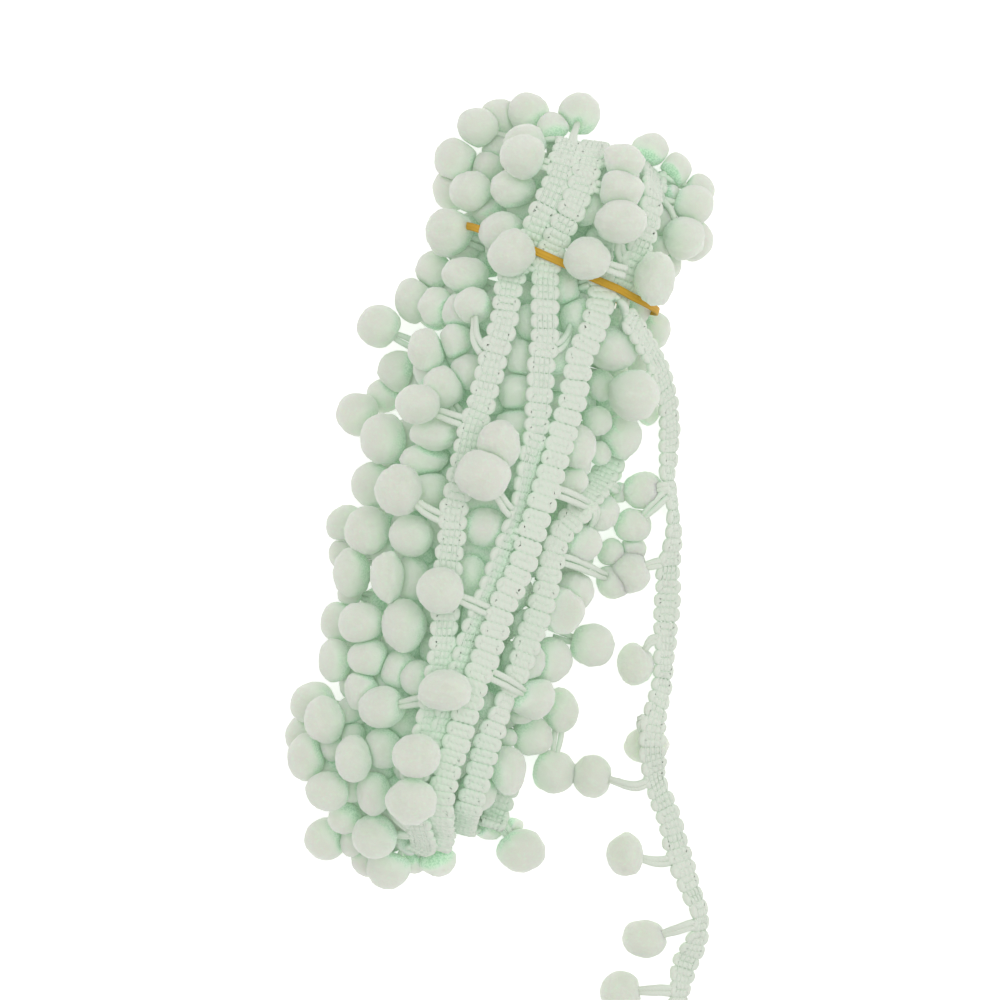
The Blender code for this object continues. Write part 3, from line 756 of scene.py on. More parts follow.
RUN_LOW_RIGHT = [
    Seen(618, 444, -11.0), Seen(605, 474, -8.0), Seen(585, 503, -5.5, lean=10),
    Seen(566, 525, -5.0, lean=24), Seen(554, 550, -5.0, lean=30), Seen(545, 590, -5.0, lean=20),
    Seen(532, 630, -4.6, lean=10), Seen(517, 672, -3.6, lean=30), Seen(505, 700, -2.4, lean=52),
    Seen(497, 720, -1.8, lean=34), Seen(489, 738, -1.4, lean=6), Seen(483, 758, -1.2), Seen(477, 780, -1.2),
    Seen(471, 799, -1.2), Seen(467, 811, -2.0), Seen(464, 820, -5.0), Under(13.0, -73.8, 9.0),
    Under(12.8, -74.2, 4.6), Under(11.8, -71.5, 1.7), Under(13.0, -60.0, 0.95), Under(17.0, -40.0, 0.95),
]
RUN_LOWEST = [
    Seen(510, 768, -10.0), Seen(506, 784, -9.0), Seen(501, 800, -8.0), Seen(496, 814, -8.5),
    Under(19.0, -71.2, 7.0), Under(18.4, -70.6, 3.4), Under(16.6, -65.0, 2.6), Under(13.0, -56.0, 2.6),
]
RUN_TO_LOOSE_END = [
    Under(19.6, 62.0, 1.2), Under(19.0, 69.5, 2.0), Under(18.4, 74.5, 5.5),
    Under(18.0, 74.8, 10.5, lean=10), Seen(654, 172, -6.0, lean=30), Seen(652, 190, -1.0, lean=38),
    Seen(650, 214, -0.4, lean=34), Seen(643, 240, -0.6, lean=28), Seen(633, 264, -0.6, lean=14),
    Seen(624, 284, -0.8, lean=20), Seen(620, 299, -0.6, lean=45), Under(19.0, 45.6, 24.2, lean=79),
]
Run = namedtuple("Run", "stops face_up seed")
RUNS = {
    "left": Run(RUN_LEFT, face_up=True, seed=21),
    "middle": Run(RUN_MIDDLE, face_up=True, seed=22),
    "right": Run(RUN_RIGHT, face_up=False, seed=23),
    "low_right": Run(RUN_LOW_RIGHT, face_up=False, seed=24),
    "lowest": Run(RUN_LOWEST, face_up=True, seed=25),
    "to_loose_end": Run(RUN_TO_LOOSE_END, face_up=True, seed=26),
}


def pinch(place):
    """How much of the elastic's press reaches a place, from 1 under it to nothing away from it."""
    away = (place.y - BAND_ALONG - place.x * math.tan(BAND_TILT)) / PINCH_REACH
    return math.exp(-(away**2))


def run_stop(stop):
    """A stop's place and lean, pressed in where the elastic crosses."""
    if isinstance(stop, Under):
        place = Vector((stop.x * MM, stop.y * MM, stop.height * MM))
        if stop.height < UNDER_BAND_BELOW:
            place.z += UNDER_BAND_RISE * pinch(place)
    else:
        place = on_top(stop.across, stop.down, stop.rise)
        place = on_top(stop.across, stop.down, stop.rise - BAND_PINCH * pinch(place))
    return (*place, stop.lean)


run_routes = {}
braids = []
for name, run in RUNS.items():
    route = make_route([run_stop(stop) for stop in run.stops], level=(1.0, 0.0, 0.0))
    run_routes[name] = route
    braid = weave(f"braid_{name}", route, run.seed, run.face_up)
    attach(braid, "root")
    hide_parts("hank")
    braids.append(braid)

# ---------------------------------------------------------------------------------------------
# The pompoms that show on top of the hank. Tufts of brushed acrylic pile, about 10 mm through,
# soft enough to press each other flat. Some lie on the runs, some between, and some hang out at
# the sides. The table is where each lies, and the relaxing then finds how high.
LAYER_SINK = {3: -4.2 * MM, 2: 4.2 * MM, 1: 7.0 * MM, 0: 11.0 * MM}
FOREMOST_LAYER = 3
FIRST_LOOK_HEIGHT = 20 * MM
CLOSEST = 0.8  # how near two pompoms' middles come, as a share of their two radii
TAPE_HALF_THICK = 0.8 * MM
OVER_TAPE = -2.5 * MM  # a pompom that starts this far over a tape lies on it
ON_TAPE = 0.84  # of its radius, how near a tape a pompom's middle comes
ROUNDNESS = 1.04
FULLNESS = 1.06  # how much further the pile springs out than the half sizes in the table
RELAX_STEPS = 80
PUSH_LIMIT = 1.5 * MM
PUSH_SHARE = 0.25
TAPE_PUSH_SHARE = 0.5
MOVE_LIMIT = 1.2 * MM
RESTS_AT = 0.86  # of its radius, how near the table a pompom's middle comes
TAPE_SAMPLE_STEP = 1.6 * MM
TAPE_SAMPLES_OVER = (-2.4 * MM, 0.0, 2.4 * MM)
LEVEL_ENOUGH = 0.45  # how far a tape's face looks up or down, for pompoms to lie on it or under it
OFF_TABLE = 6 * MM  # what lies higher than this is on the hank and not on the table

Tuft = namedtuple("Tuft", "across down wide tall layer")
TUFTS = [
    Tuft(478, 128, 20, 20, 1), Tuft(500, 118, 20, 19, 1), Tuft(528, 113, 20, 20, 1),
    Tuft(553, 131, 17, 18, 1), Tuft(579, 114, 20.5, 20, 1), Tuft(523, 157, 21, 21, 3),
    Tuft(525, 143, 20, 18, 2), Tuft(457, 160, 21, 21, 1), Tuft(452, 190, 19, 20, 0),
    Tuft(471, 192, 20, 20, 2), Tuft(513, 189, 22, 18, 2), Tuft(449, 232, 23, 23, 2),
    Tuft(463, 249, 20, 18, 1), Tuft(465, 275, 23, 17, 2), Tuft(502, 233, 22, 20, 2),
    Tuft(512, 253, 22, 22, 3), Tuft(587, 259, 22, 20, 3), Tuft(487, 168, 16, 16, 0),
    Tuft(650, 153, 18, 19, 1), Tuft(621, 162, 22, 17, 3), Tuft(674, 172, 17, 18, 1),
    Tuft(698, 190, 15, 16, 0), Tuft(692, 206, 20, 20, 1), Tuft(683, 238, 21, 21, 2),
    Tuft(692, 240, 20, 20, 0), Tuft(668, 265, 13, 14, 0), Tuft(655, 279, 19, 25, 3),
    Tuft(621, 191, 21, 20, 3), Tuft(620, 221, 24, 21, 3), Tuft(435, 272, 19, 20, 1),
    Tuft(415, 300, 19, 22, 1), Tuft(437, 307, 18, 18, 1), Tuft(473, 305, 18, 17, 2),
    Tuft(459, 312, 16, 18, 2), Tuft(379, 327, 20.5, 20.5, 1), Tuft(427, 350, 18.5, 21, 2),
    Tuft(455, 340, 16, 18, 1), Tuft(397, 372, 18, 20, 0), Tuft(468, 372, 17, 17, 1),
    Tuft(443, 388, 20, 21, 2), Tuft(418, 404, 21, 19, 3), Tuft(385, 395, 17, 17, 0),
    Tuft(358, 414, 20.5, 21, 1), Tuft(384, 439, 22, 24, 2), Tuft(435, 434, 23, 16, 2),
    Tuft(423, 460, 23, 15, 1), Tuft(372, 485, 20, 22, 1), Tuft(400, 490, 22, 25, 3),
    Tuft(429, 490, 20, 18, 1), Tuft(346, 525, 19, 20, 0), Tuft(367, 531, 21, 23, 2),
    Tuft(411, 536, 21.5, 20, 2), Tuft(343, 553, 13, 16, 0), Tuft(352, 573, 18, 25, 1),
    Tuft(387, 577, 16, 24, 2), Tuft(412, 578, 18, 22, 1), Tuft(441, 590, 22, 22, 3),
    Tuft(342, 622, 20, 21, 0), Tuft(361, 623, 22, 20, 2), Tuft(404, 625, 22, 25, 2),
    Tuft(369, 657, 20, 19, 1), Tuft(335, 660, 16, 21, 1), Tuft(399, 669, 18, 18, 1),
    Tuft(418, 678, 17, 17, 1), Tuft(362, 690, 17, 19, 1), Tuft(445, 690, 25, 20, 3),
    Tuft(382, 707, 23, 20, 2), Tuft(314, 703, 22, 20, 1), Tuft(325, 721, 21, 22, 2),
    Tuft(305, 735, 19, 19, 0), Tuft(307, 757, 19, 23, 1), Tuft(354, 758, 18, 22, 2),
    Tuft(383, 748, 19, 20, 1), Tuft(416, 756, 23, 21, 3), Tuft(328, 791, 21, 19, 2),
    Tuft(374, 793, 16, 21, 1), Tuft(412, 801, 24, 22, 3), Tuft(345, 818, 16, 15, 0),
    Tuft(326, 839, 21, 20, 0), Tuft(375, 836, 22, 21, 2), Tuft(389, 864, 21, 24, 0),
    Tuft(368, 858, 16, 18, 0), Tuft(436, 857, 20, 18, 0), Tuft(441, 832, 14, 14, 0),
    Tuft(405, 722, 16, 16, 0), Tuft(563, 288, 17, 17, 1), Tuft(576, 318, 15, 20, 1),
    Tuft(613, 349, 25, 22, 2), Tuft(632, 395, 24, 25, 3), Tuft(656, 330, 14, 17, 0),
    Tuft(620, 437, 21, 22, 1), Tuft(578, 447, 17, 22, 2), Tuft(572, 481, 15, 14, 1),
    Tuft(598, 510, 21, 21, 2), Tuft(609, 470, 14, 14, 0), Tuft(580, 543, 20, 19, 1),
    Tuft(612, 553, 14, 14, 0), Tuft(614, 580, 17, 18, 0), Tuft(572, 592, 21, 20, 1),
    Tuft(560, 610, 24, 22, 2), Tuft(527, 627, 13, 17, 1), Tuft(524, 661, 22, 21, 2),
    Tuft(549, 660, 22, 22, 1), Tuft(592, 645, 22, 21, 1), Tuft(532, 698, 23, 19, 2),
    Tuft(560, 710, 17, 21, 0), Tuft(532, 736, 20, 19, 1), Tuft(507, 769, 18, 24, 2),
    Tuft(554, 771, 20, 21, 0), Tuft(521, 850, 23, 21, 0), Tuft(490, 827, 16, 12, 0),
    Tuft(488, 707, 11, 14, 1), Tuft(498, 445, 21, 24, 3), Tuft(517, 428, 22, 18, 1),
    Tuft(516, 392, 17, 18, 1), Tuft(520, 358, 14, 18, 1), Tuft(528, 322, 13, 18, 1),
    Tuft(527, 294, 12, 12, 0), Tuft(483, 475, 26, 24, 3), Tuft(486, 527, 21, 19, 2),
    Tuft(472, 575, 15, 21, 1), Tuft(633, 526, 18, 17, 0), Tuft(488, 212, 15, 13, 0),
    Tuft(497, 150, 15, 14, 0), Tuft(648, 200, 14, 16, 0), Tuft(665, 222, 14, 16, 0),
    Tuft(602, 240, 15, 15, 0), Tuft(617, 322, 12, 12, 0), Tuft(636, 360, 14, 14, 0),
    Tuft(597, 421, 14, 15, 0), Tuft(601, 385, 13, 15, 0), Tuft(668, 195, 12, 12, 0),
    Tuft(660, 247, 11, 11, 0), Tuft(333, 748, 13, 13, 0), Tuft(352, 790, 12, 12, 0),
    Tuft(352, 842, 12, 14, 0), Tuft(408, 843, 13, 13, 0), Tuft(350, 594, 12, 12, 0),
    Tuft(648, 411, 11, 13, 0), Tuft(566, 571, 10, 10, 0), Tuft(514, 825, 9, 7, 0),
    Tuft(349, 712, 13, 14, 0), Tuft(353, 734, 12, 12, 0), Tuft(633, 549, 13, 12, 0),
    Tuft(619, 492, 9, 10, 0), Tuft(600, 453, 11, 12, 0), Tuft(616, 372, 12, 10, 0),
    Tuft(494, 404, 10, 10, 0), Tuft(508, 738, 9, 9, 0), Tuft(521, 716, 12, 8, 0),
    Tuft(414, 861, 12, 12, 0),
]


def tape_samples():
    """Places over the tapes that pompoms and stems meet, with each one's ways and which tape it is on."""
    rows = []
    for route in [*run_routes.values(), loose_route]:
        s = np.arange(0, route["s"][-1], TAPE_SAMPLE_STEP)
        place, over, look = (along_route(route, s, u, w) for u, w in ((0, 0), (1, 0), (0, 1)))
        over, look = over - place, look - place
        on_loose = np.full(len(s), float(route is loose_route))
        for u in TAPE_SAMPLES_OVER:
            aside = np.full(len(s), u)
            ahead = np.cross(over, look)
            rows.append(np.column_stack([place + over * u, look, over, ahead, aside, on_loose]))
    return np.split(np.vstack(rows), (3, 6, 9, 12, 13), axis=1)


tape_spots, tape_looks, tape_overs, tape_aheads, tape_asides, tape_on_loose = tape_samples()
level_tape = tape_spots[np.abs(tape_looks[:, 2]) > LEVEL_ENOUGH]
level_tape = level_tape[level_tape[:, 2] > OFF_TABLE]

count = len(TUFTS)
layers = np.array([tuft.layer for tuft in TUFTS])
heights = np.empty(count)
for i, tuft in enumerate(TUFTS):
    place = spot(tuft.across, tuft.down, FIRST_LOOK_HEIGHT)
    heights[i] = top_height(place.x, place.y) - LAYER_SINK[tuft.layer]
first_heights = heights.copy()


def tuft_places():
    places = np.array([spot(tuft.across, tuft.down, z) for tuft, z in zip(TUFTS, heights)])
    size = np.array([[t.wide, t.tall] for t in TUFTS]) * np.array([[pixel_size(z)] for z in heights])
    return places, size


def push_apart(move, places, radius):
    """Two pompoms that come too close push each other up and down."""
    for i in range(count):
        for j in range(i + 1, count):
            reach = CLOSEST * (radius[i] + radius[j])
            aside = np.hypot(*(places[i, :2] - places[j, :2]))
            drop = heights[i] - heights[j]
            if aside**2 + drop**2 >= reach**2:
                continue
            push = math.sqrt(max(reach**2 - aside**2, 0)) - abs(drop)
            first_up = layers[i] > layers[j] or (layers[i] == layers[j] and drop >= 0)
            push = min(push, PUSH_LIMIT) * PUSH_SHARE
            move[i] += push if first_up else -push
            move[j] -= push if first_up else -push


def push_off_tapes(move, places, radius):
    """A pompom lies on a tape or under it, by which of the two it starts nearer to."""
    for i in range(count):
        aside = np.hypot(level_tape[:, 0] - places[i, 0], level_tape[:, 1] - places[i, 1])
        reach = ON_TAPE * radius[i] + TAPE_HALF_THICK
        near = aside < reach
        if not near.any():
            continue
        clear = np.sqrt(reach**2 - aside[near] ** 2)
        tape = level_tape[near, 2]
        over = (tape < first_heights[i] + OVER_TAPE) | (layers[i] == FOREMOST_LAYER)
        if over.any():
            move[i] += TAPE_PUSH_SHARE * max(0.0, (tape + clear)[over].max() - heights[i])
        if not over.all():
            move[i] -= TAPE_PUSH_SHARE * max(0.0, heights[i] - (tape - clear)[~over].min())


for _ in range(RELAX_STEPS):
    places, size = tuft_places()
    radius = size.mean(1)
    move = np.zeros(count)
    push_apart(move, places, radius)
    push_off_tapes(move, places, radius)
    heights += np.clip(move, -MOVE_LIMIT, MOVE_LIMIT)
    heights = np.maximum(heights, RESTS_AT * radius)
places, size = tuft_places()
half_sizes = np.column_stack([size, size.mean(1) * ROUNDNESS]) * FULLNESS

# ---------------------------------------------------------------------------------------------
# The pompoms round the sides, underneath and deeper in. They are the same tufts, packed as they
# fall when the hank is wound, and the lowest are pressed level by the table.
FILL_RADIUS = 4.8 * MM
FILL_VARIES = 0.05
FILL_PITCH = 8.2 * MM
FILL_OFFSETS = 3  # tries within each pitch
FILL_SINKS = (4.6 * MM, 12.4 * MM)
FILL_TO_END = 0.6  # of the sink, how far short of the form's ends they stop
FILL_WANDER = 0.7  # millimetres
FILL_DROPS = (8.6 * MM, 16.5 * MM, 24.0 * MM)  # under a pompom that shows
FILL_SPREAD = (5.0 * MM, 5.0 * MM, 1.0 * MM)
FILL_NEAREST = 6.6 * MM
FILL_RESTS_AT = 0.88 * FILL_RADIUS
FILL_LOWEST = 0.8 * FILL_RADIUS
FILL_OFF_TAPE = 0.86  # of its radius, how near a tape its middle comes
FILL_TRIES = 6
FILL_SEED = 31
CREVICE_SPAN = 14.5 * MM  # how far apart two shown pompoms may be with one more wedged beneath them
CREVICE_DROP = 4.4 * MM
CREVICE_NEAREST = 5.2 * MM
HIDE_MARGIN = 3  # pixels
HIDE_DROP = 1.5 * MM
TABLE_MARGIN = 2  # pixels
ENCLOSE_REACH = 38  # pixels
ENCLOSE_ANGLE = 2.7  # radians
PRESS_SHARE = 0.5  # of its radius, the nearest to its middle that anything presses a pompom
PRESS_SINK = 0.02 * MM
TAPE_ROUND = 1.4 * MM  # how near a tape's middle line a pompom beside it comes
TABLE_REACH = 1.02  # of its radius, how high a pompom's middle may lie for the table to flatten it

Bare = namedtuple("Bare", "across down radius")  # where the table shows and no pompom lies
TABLE_SEEN_AT = [
    Bare(605, 540, 9), Bare(600, 588, 11), Bare(653, 540, 9), Bare(394, 350, 9), Bare(414, 325, 8),
    Bare(364, 464, 8), Bare(330, 687, 8), Bare(580, 624, 8), Bare(532, 772, 8), Bare(627, 472, 9),
]


def frame_pixel(place):
    """Where the camera sees a place, and how big it sees a pompom there."""
    size = pixel_size(place[2])
    away = Vector(place) - CAMERA_PLACE
    return (
        FRAME_PIXELS / 2 + away.dot(camera_right) / size,
        FRAME_PIXELS / 2 - away.dot(camera_up) / size,
        FILL_RADIUS / size,
    )


draw = np.random.default_rng(FILL_SEED)
fill = []
seen_at = np.array([[tuft.across, tuft.down, (tuft.wide + tuft.tall) / 2] for tuft in TUFTS])
tape_seen_at = np.array([frame_pixel(place)[:2] for place in tape_spots if place[2] > OFF_TABLE])


def room_for(place, nearest=FILL_NEAREST):
    """Whether a pompom fits, hides none of those that show on top, and keeps within their outline."""
    others = np.array([*places, *fill])
    if np.linalg.norm(others - place, axis=1).min() < nearest:
        return False
    if np.linalg.norm(tape_spots - place, axis=1).min() < FILL_RADIUS * FILL_OFF_TAPE + TAPE_HALF_THICK:
        return False
    across, down, reach = frame_pixel(place)
    for bare in TABLE_SEEN_AT:
        if math.hypot(across - bare.across, down - bare.down) < reach + bare.radius - TABLE_MARGIN:
            return False
    apart = np.hypot(seen_at[:, 0] - across, seen_at[:, 1] - down)
    over = apart < seen_at[:, 2] + reach - HIDE_MARGIN
    if (over & (heights < place[2] + HIDE_DROP)).any():
        return False
    near = np.vstack([seen_at[apart < ENCLOSE_REACH, :2], tape_seen_at]) - (across, down)
    near = near[(np.hypot(*near.T) < ENCLOSE_REACH) & (np.hypot(*near.T) > 1)]
    if not len(near):
        return False
    bearings = np.sort(np.arctan2(near[:, 1], near[:, 0]))
    widest = max(np.diff(bearings).max(initial=0), bearings[0] + 2 * math.pi - bearings[-1])
    return widest < ENCLOSE_ANGLE


def wedge_between():
    """Pompoms wedged beneath two that show and lie close together, the closest two first."""
    couples = []
    for i in range(count):
        for j in range(i + 1, count):
            span = float(np.hypot(*(places[i, :2] - places[j, :2])))
            if span < CREVICE_SPAN:
                couples.append((span, i, j))
    for _, i, j in sorted(couples):
        place = (places[i] + places[j]) / 2
        place[2] = max(min(places[i][2], places[j][2]) - CREVICE_DROP, FILL_RESTS_AT)
        if room_for(place, CREVICE_NEAREST):
            fill.append(place)


def pack_round_form():
    """Rows of pompoms round the wound form, just under its surface and deeper in."""
    for sink in FILL_SINKS:
        ends = sink * FILL_TO_END
        rows = np.arange(SECTION_ROWS[0, 0] + ends, SECTION_ROWS[-1, 0] - ends, FILL_PITCH)
        for row, along in enumerate(rows):
            middle, half_width, top = section(along)
            round_it = math.pi * (half_width + top / 2 - 2 * sink)
            steps = max(3, round(round_it / FILL_PITCH))
            for i in range(steps * FILL_OFFSETS):
                around = 2 * math.pi * (i / FILL_OFFSETS + 0.5 * (row % 2)) / steps
                wander = draw.uniform(-FILL_WANDER, FILL_WANDER, 3) * MM
                place = np.array(form_point(along, around, sink)) + wander
                place[2] = max(place[2], FILL_RESTS_AT)
                if room_for(place):
                    fill.append(place)


def pack_beneath():
    """Pompoms under each one that shows, the highest first."""
    for i in np.argsort(-heights):
        for drop in FILL_DROPS:
            for _ in range(FILL_TRIES):
                place = places[i] + draw.uniform(-1, 1, 3) * FILL_SPREAD
                place[2] = places[i][2] - drop
                if place[2] > FILL_LOWEST and room_for(place):
                    fill.append(place)


wedge_between()
wedged = len(fill)
pack_round_form()
pack_beneath()
fill = np.array(fill)
fill_half = np.tile([FILL_RADIUS] * 3, (len(fill), 1)) * draw.normal(1, FILL_VARIES, (len(fill), 3))
print("pompoms:", count, "on top,", wedged, "wedged between,", len(fill) - wedged, "at the sides and inside")

every = np.vstack([places, fill])
every_half = np.vstack([half_sizes, fill_half])
every_radius = every_half.mean(1)


def presses_on(i):
    """The flats that neighbours, braid and table press into a pompom, as (way, distance) rows."""
    rows = []
    radius = every_radius[i]
    apart = every - every[i]
    gap = np.linalg.norm(apart, axis=1)
    for j in np.nonzero((gap > 0) & (gap < radius + every_radius))[0]:
        share = radius / (radius + every_radius[j])
        rows.append((apart[j] / gap[j], gap[j] * share - PRESS_SINK))
    apart = tape_spots - every[i]
    gap = np.linalg.norm(apart, axis=1)
    for j in np.nonzero(gap < radius + TAPE_HALF_THICK)[0]:
        look = tape_looks[j]
        side = look if look @ apart[j] > 0 else -look
        distance = apart[j] @ side - TAPE_HALF_THICK
        if distance > PRESS_SHARE * radius:
            rows.append((side, distance))
        elif gap[j] - TAPE_ROUND > PRESS_SHARE * radius:
            rows.append((apart[j] / gap[j], gap[j] - TAPE_ROUND))
    if every[i][2] < radius * TABLE_REACH:
        rows.append((np.array((0.0, 0.0, -1.0)), every[i][2] - TABLE_CLEAR))
    return rows


# ---------------------------------------------------------------------------------------------
# The stems. Each pompom hangs from the braid's edge by the two ends of the yarn that ties it, and
# they leave the edge as one scallop's two ribs do. Those in the table lie where they can be seen.
STEM_LONGEST = 9.5 * MM
STEM_LONGEST_TO_LOOSE = 9.0 * MM
STEM_DIP = 5.0 * MM  # how far a stem that is not in the table dips under its neighbours
STEM_DIPS_OVER = 14 * MM
STEM_SEED = 700
ROOT_SEEN_WITHIN = 7  # pixels
ROOT_OUT = 0.2  # millimetres that its edge lies past the tape's samples
ROOT_BELOW = 1.5 * MM  # how far under its pompom's middle a shown root lies where no edge is near
ROOT_OVER = 3 * MM  # a stem's root lies no higher over its pompom than this
ROOT_FACING = 3 * MM  # how much nearer an edge counts that faces the pompom
ROOT_TOO_FAR = 1.0  # metres, which rules an edge out
LEAN_OUT = 0.6  # how much a stem keeps the way in which it leaves the braid
SIDE_TURN = 0.5  # how much its two strands turn to lie across the way it goes
INWARD_REACH = 9  # millimetres that a stem goes into the hank where no edge is near
INWARD_SHARE = 0.96
INWARD_DROP = 8 * MM
INWARD_LOWEST = 4 * MM

ShownStem = namedtuple("ShownStem", "tuft across down")  # tufts are counted from 0
SHOWN_STEMS = [
    ShownStem(4, 575, 150), ShownStem(9, 497, 213), ShownStem(16, 626, 272), ShownStem(28, 628, 262),
    ShownStem(34, 414, 345), ShownStem(32, 489, 350), ShownStem(39, 470, 432), ShownStem(47, 444, 522),
    ShownStem(86, 554, 345), ShownStem(118, 515, 517), ShownStem(56, 482, 613), ShownStem(90, 574, 400),
    ShownStem(93, 554, 490), ShownStem(104, 486, 670), ShownStem(97, 568, 556), ShownStem(66, 437, 704),
    ShownStem(108, 560, 724), ShownStem(109, 498, 820), ShownStem(121, 667, 494), ShownStem(96, 640, 562),
    ShownStem(138, 632, 400), ShownStem(143, 633, 565), ShownStem(144, 608, 482),
]
shown = {row.tuft: row for row in SHOWN_STEMS}
edges = np.nonzero(np.abs(tape_asides[:, 0]) > 1 * MM)[0]
edge_way = tape_overs[edges] * np.sign(tape_asides[edges])
edge_place = tape_spots[edges] + edge_way * ROOT_OUT * MM
edge_seen = np.array([frame_pixel(place)[:2] for place in edge_place])
edge_on_loose = tape_on_loose[edges, 0] > 0


def nearest_edge(i):
    """Which place on a braid's edge a pompom hangs from, if one is near enough."""
    if i in shown:
        away = np.hypot(*(edge_seen - (shown[i].across, shown[i].down)).T)
        near = np.nonzero((away < ROOT_SEEN_WITHIN) & (edge_place[:, 2] > OFF_TABLE))[0]
        return near[np.argmax(edge_place[near, 2])] if len(near) else None
    toward = unit(every[i] - edge_place)
    gap = np.linalg.norm(edge_place - every[i], axis=1) - ROOT_FACING * (toward * edge_way).sum(1)
    gap = np.where(edge_place[:, 2] < every[i][2] + ROOT_OVER, gap, ROOT_TOO_FAR)
    gap = np.where(edge_on_loose & (gap > STEM_LONGEST_TO_LOOSE), ROOT_TOO_FAR, gap)
    return np.argmin(gap) if gap.min() < STEM_LONGEST else None


def stem_start(i):
    """Where a pompom's stem starts, the way it leaves, and the way its two strands lie apart."""
    middle = every[i]
    found = nearest_edge(i)
    if found is not None:
        root = edge_place[found]
        way = unit(LEAN_OUT * edge_way[found] + unit(middle - root))
        side = tape_aheads[edges[found]]
        return root, way, unit(side - SIDE_TURN * way * (way @ side))
    if i in shown:
        root = np.array(spot(shown[i].across, shown[i].down, max(middle[2] - ROOT_BELOW, STRAND_RADIUS)))
    else:
        deeper = max(middle[2] - INWARD_DROP, INWARD_LOWEST)
        inward = np.array((section(middle[1])[0], middle[1] * INWARD_SHARE, deeper))
        root = middle + unit(inward - middle) * INWARD_REACH * MM
    way = unit(middle - root)
    return root, way, unit(np.cross([0, 0, 1], way))


strands = []
stem_ways = np.zeros((len(every), 3))
for i, middle in enumerate(every):
    root, way, side = stem_start(i)
    dip = 0.0 if i in shown or middle[2] < STEM_DIPS_OVER else STEM_DIP
    reach = every_radius[i] * STEM_MEETS
    pair, stem_ways[i] = stem_strands(root, way, middle, reach, side, STEM_SEED + i, dip)
    if i < count:
        strands += pair
stems = stem_piece("hank_stems", strands)
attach(stems, "root")
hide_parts("hank")

# ---------------------------------------------------------------------------------------------
# The hank's pompoms as pieces, in groups by where they lie, of the same brushed acrylic tufts.
# Those that lie foremost have the finest meshes, and those underneath the plainest.
TUFT_SEED = 500
HANK_MIDDLE = -14.0 * MM

shapes = [
    TuftShape(every[i], every_half[i], presses_on(i), stem_ways[i], TUFT_SEED + i) for i in range(len(every))
]
on_top_of_hank = np.arange(len(every)) < count
tied = every[:, 1] > BAND_ALONG
folded = every[:, 1] < HANK_MIDDLE
foremost = np.concatenate([layers >= 2, np.zeros(len(fill), bool)])

Group = namedtuple("Group", "name picked level")
GROUPS = (
    Group("pompoms_tied_end", on_top_of_hank & tied & ~foremost, 4),
    Group("pompoms_tied_end_foremost", tied & foremost, 5),
    Group("pompoms_along", on_top_of_hank & ~tied & ~foremost, 4),
    Group("pompoms_middle_foremost", ~tied & ~folded & foremost, 5),
    Group("pompoms_folded_end_foremost", folded & foremost, 5),
    Group("pompoms_beneath", ~on_top_of_hank, 3),
)
hank_pompoms = []
for group in GROUPS:
    pompoms = tufts(group.name, [shapes[i] for i in np.nonzero(group.picked)[0]], group.level, pile_finish)
    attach(pompoms, "root")
    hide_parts("hank")
    hank_pompoms.append(pompoms)

# ---------------------------------------------------------------------------------------------
# The elastic. A thin flat braided mustard elastic, one closed loop, pulled tight round the hank
# near its end, so that it presses the runs down and is hidden where pompoms spring over it.
BAND_WIDE = 1.7 * MM
BAND_THICK = 0.75 * MM
BAND_STEPS = 160
BAND_SIDES = 12
BAND_LOWEST = 0.6 * MM
BAND_STANDS_OFF = 2.2 * MM  # where it bridges from the loose end's run down to the table
BAND_OVER_FROM = 12 * MM  # the height from which it lies on the runs
BAND_MEETS = 2.4 * MM
BAND_SQUARENESS = 0.45  # 1 gives an oval, less a flatter tape
BAND_SMOOTHINGS = 4
ELASTIC_CORDS = 10
STRAIGHT = 1e6  # millimetres for one turn, so that the cords run straight
MUSTARD = (0.68, 0.39, 0.04, 1.0)
MUSTARD_DEEP = (0.6, 0.33, 0.03, 1.0)


def band_path():
    """The elastic's way round the form, over the runs that it crosses, a little smoothed."""
    path = []
    for i in range(BAND_STEPS):
        around = 2 * math.pi * i / BAND_STEPS
        place = form_point(BAND_ALONG, around)
        place.y = BAND_ALONG + place.x * math.tan(BAND_TILT)
        place.x += BAND_STANDS_OFF * max(0.0, math.cos(around)) ** 2
        gap = np.hypot(level_tape[:, 0] - place.x, level_tape[:, 1] - place.y)
        if place.z > BAND_OVER_FROM and gap.min() < BAND_MEETS:
            place.z = level_tape[gap < BAND_MEETS, 2].max() + TAPE_HALF_THICK + BAND_THICK / 2
        place.z = max(place.z, BAND_LOWEST)
        path.append(place)
    path = np.array(path)
    for _ in range(BAND_SMOOTHINGS):
        path = 0.5 * path + 0.25 * (np.roll(path, 1, axis=0) + np.roll(path, -1, axis=0))
    return path


def band_mesh(path):
    ahead = unit(np.roll(path, -1, axis=0) - np.roll(path, 1, axis=0))
    middle, _, top = section(BAND_ALONG)
    out = path - (middle, BAND_ALONG, top / 2)
    out[:, 1] = 0
    out = unit(out - ahead * (out * ahead).sum(1)[:, None])
    across = np.cross(ahead, out)
    wide, thick = flattened(2 * math.pi * np.arange(BAND_SIDES) / BAND_SIDES, BAND_SQUARENESS)
    wide, thick = wide * BAND_WIDE / 2, thick * BAND_THICK / 2
    grid = path[:, None] + across[:, None] * wide[:, None] + out[:, None] * thick[:, None]
    return grid_mesh("elastic", grid[None], closed=True)


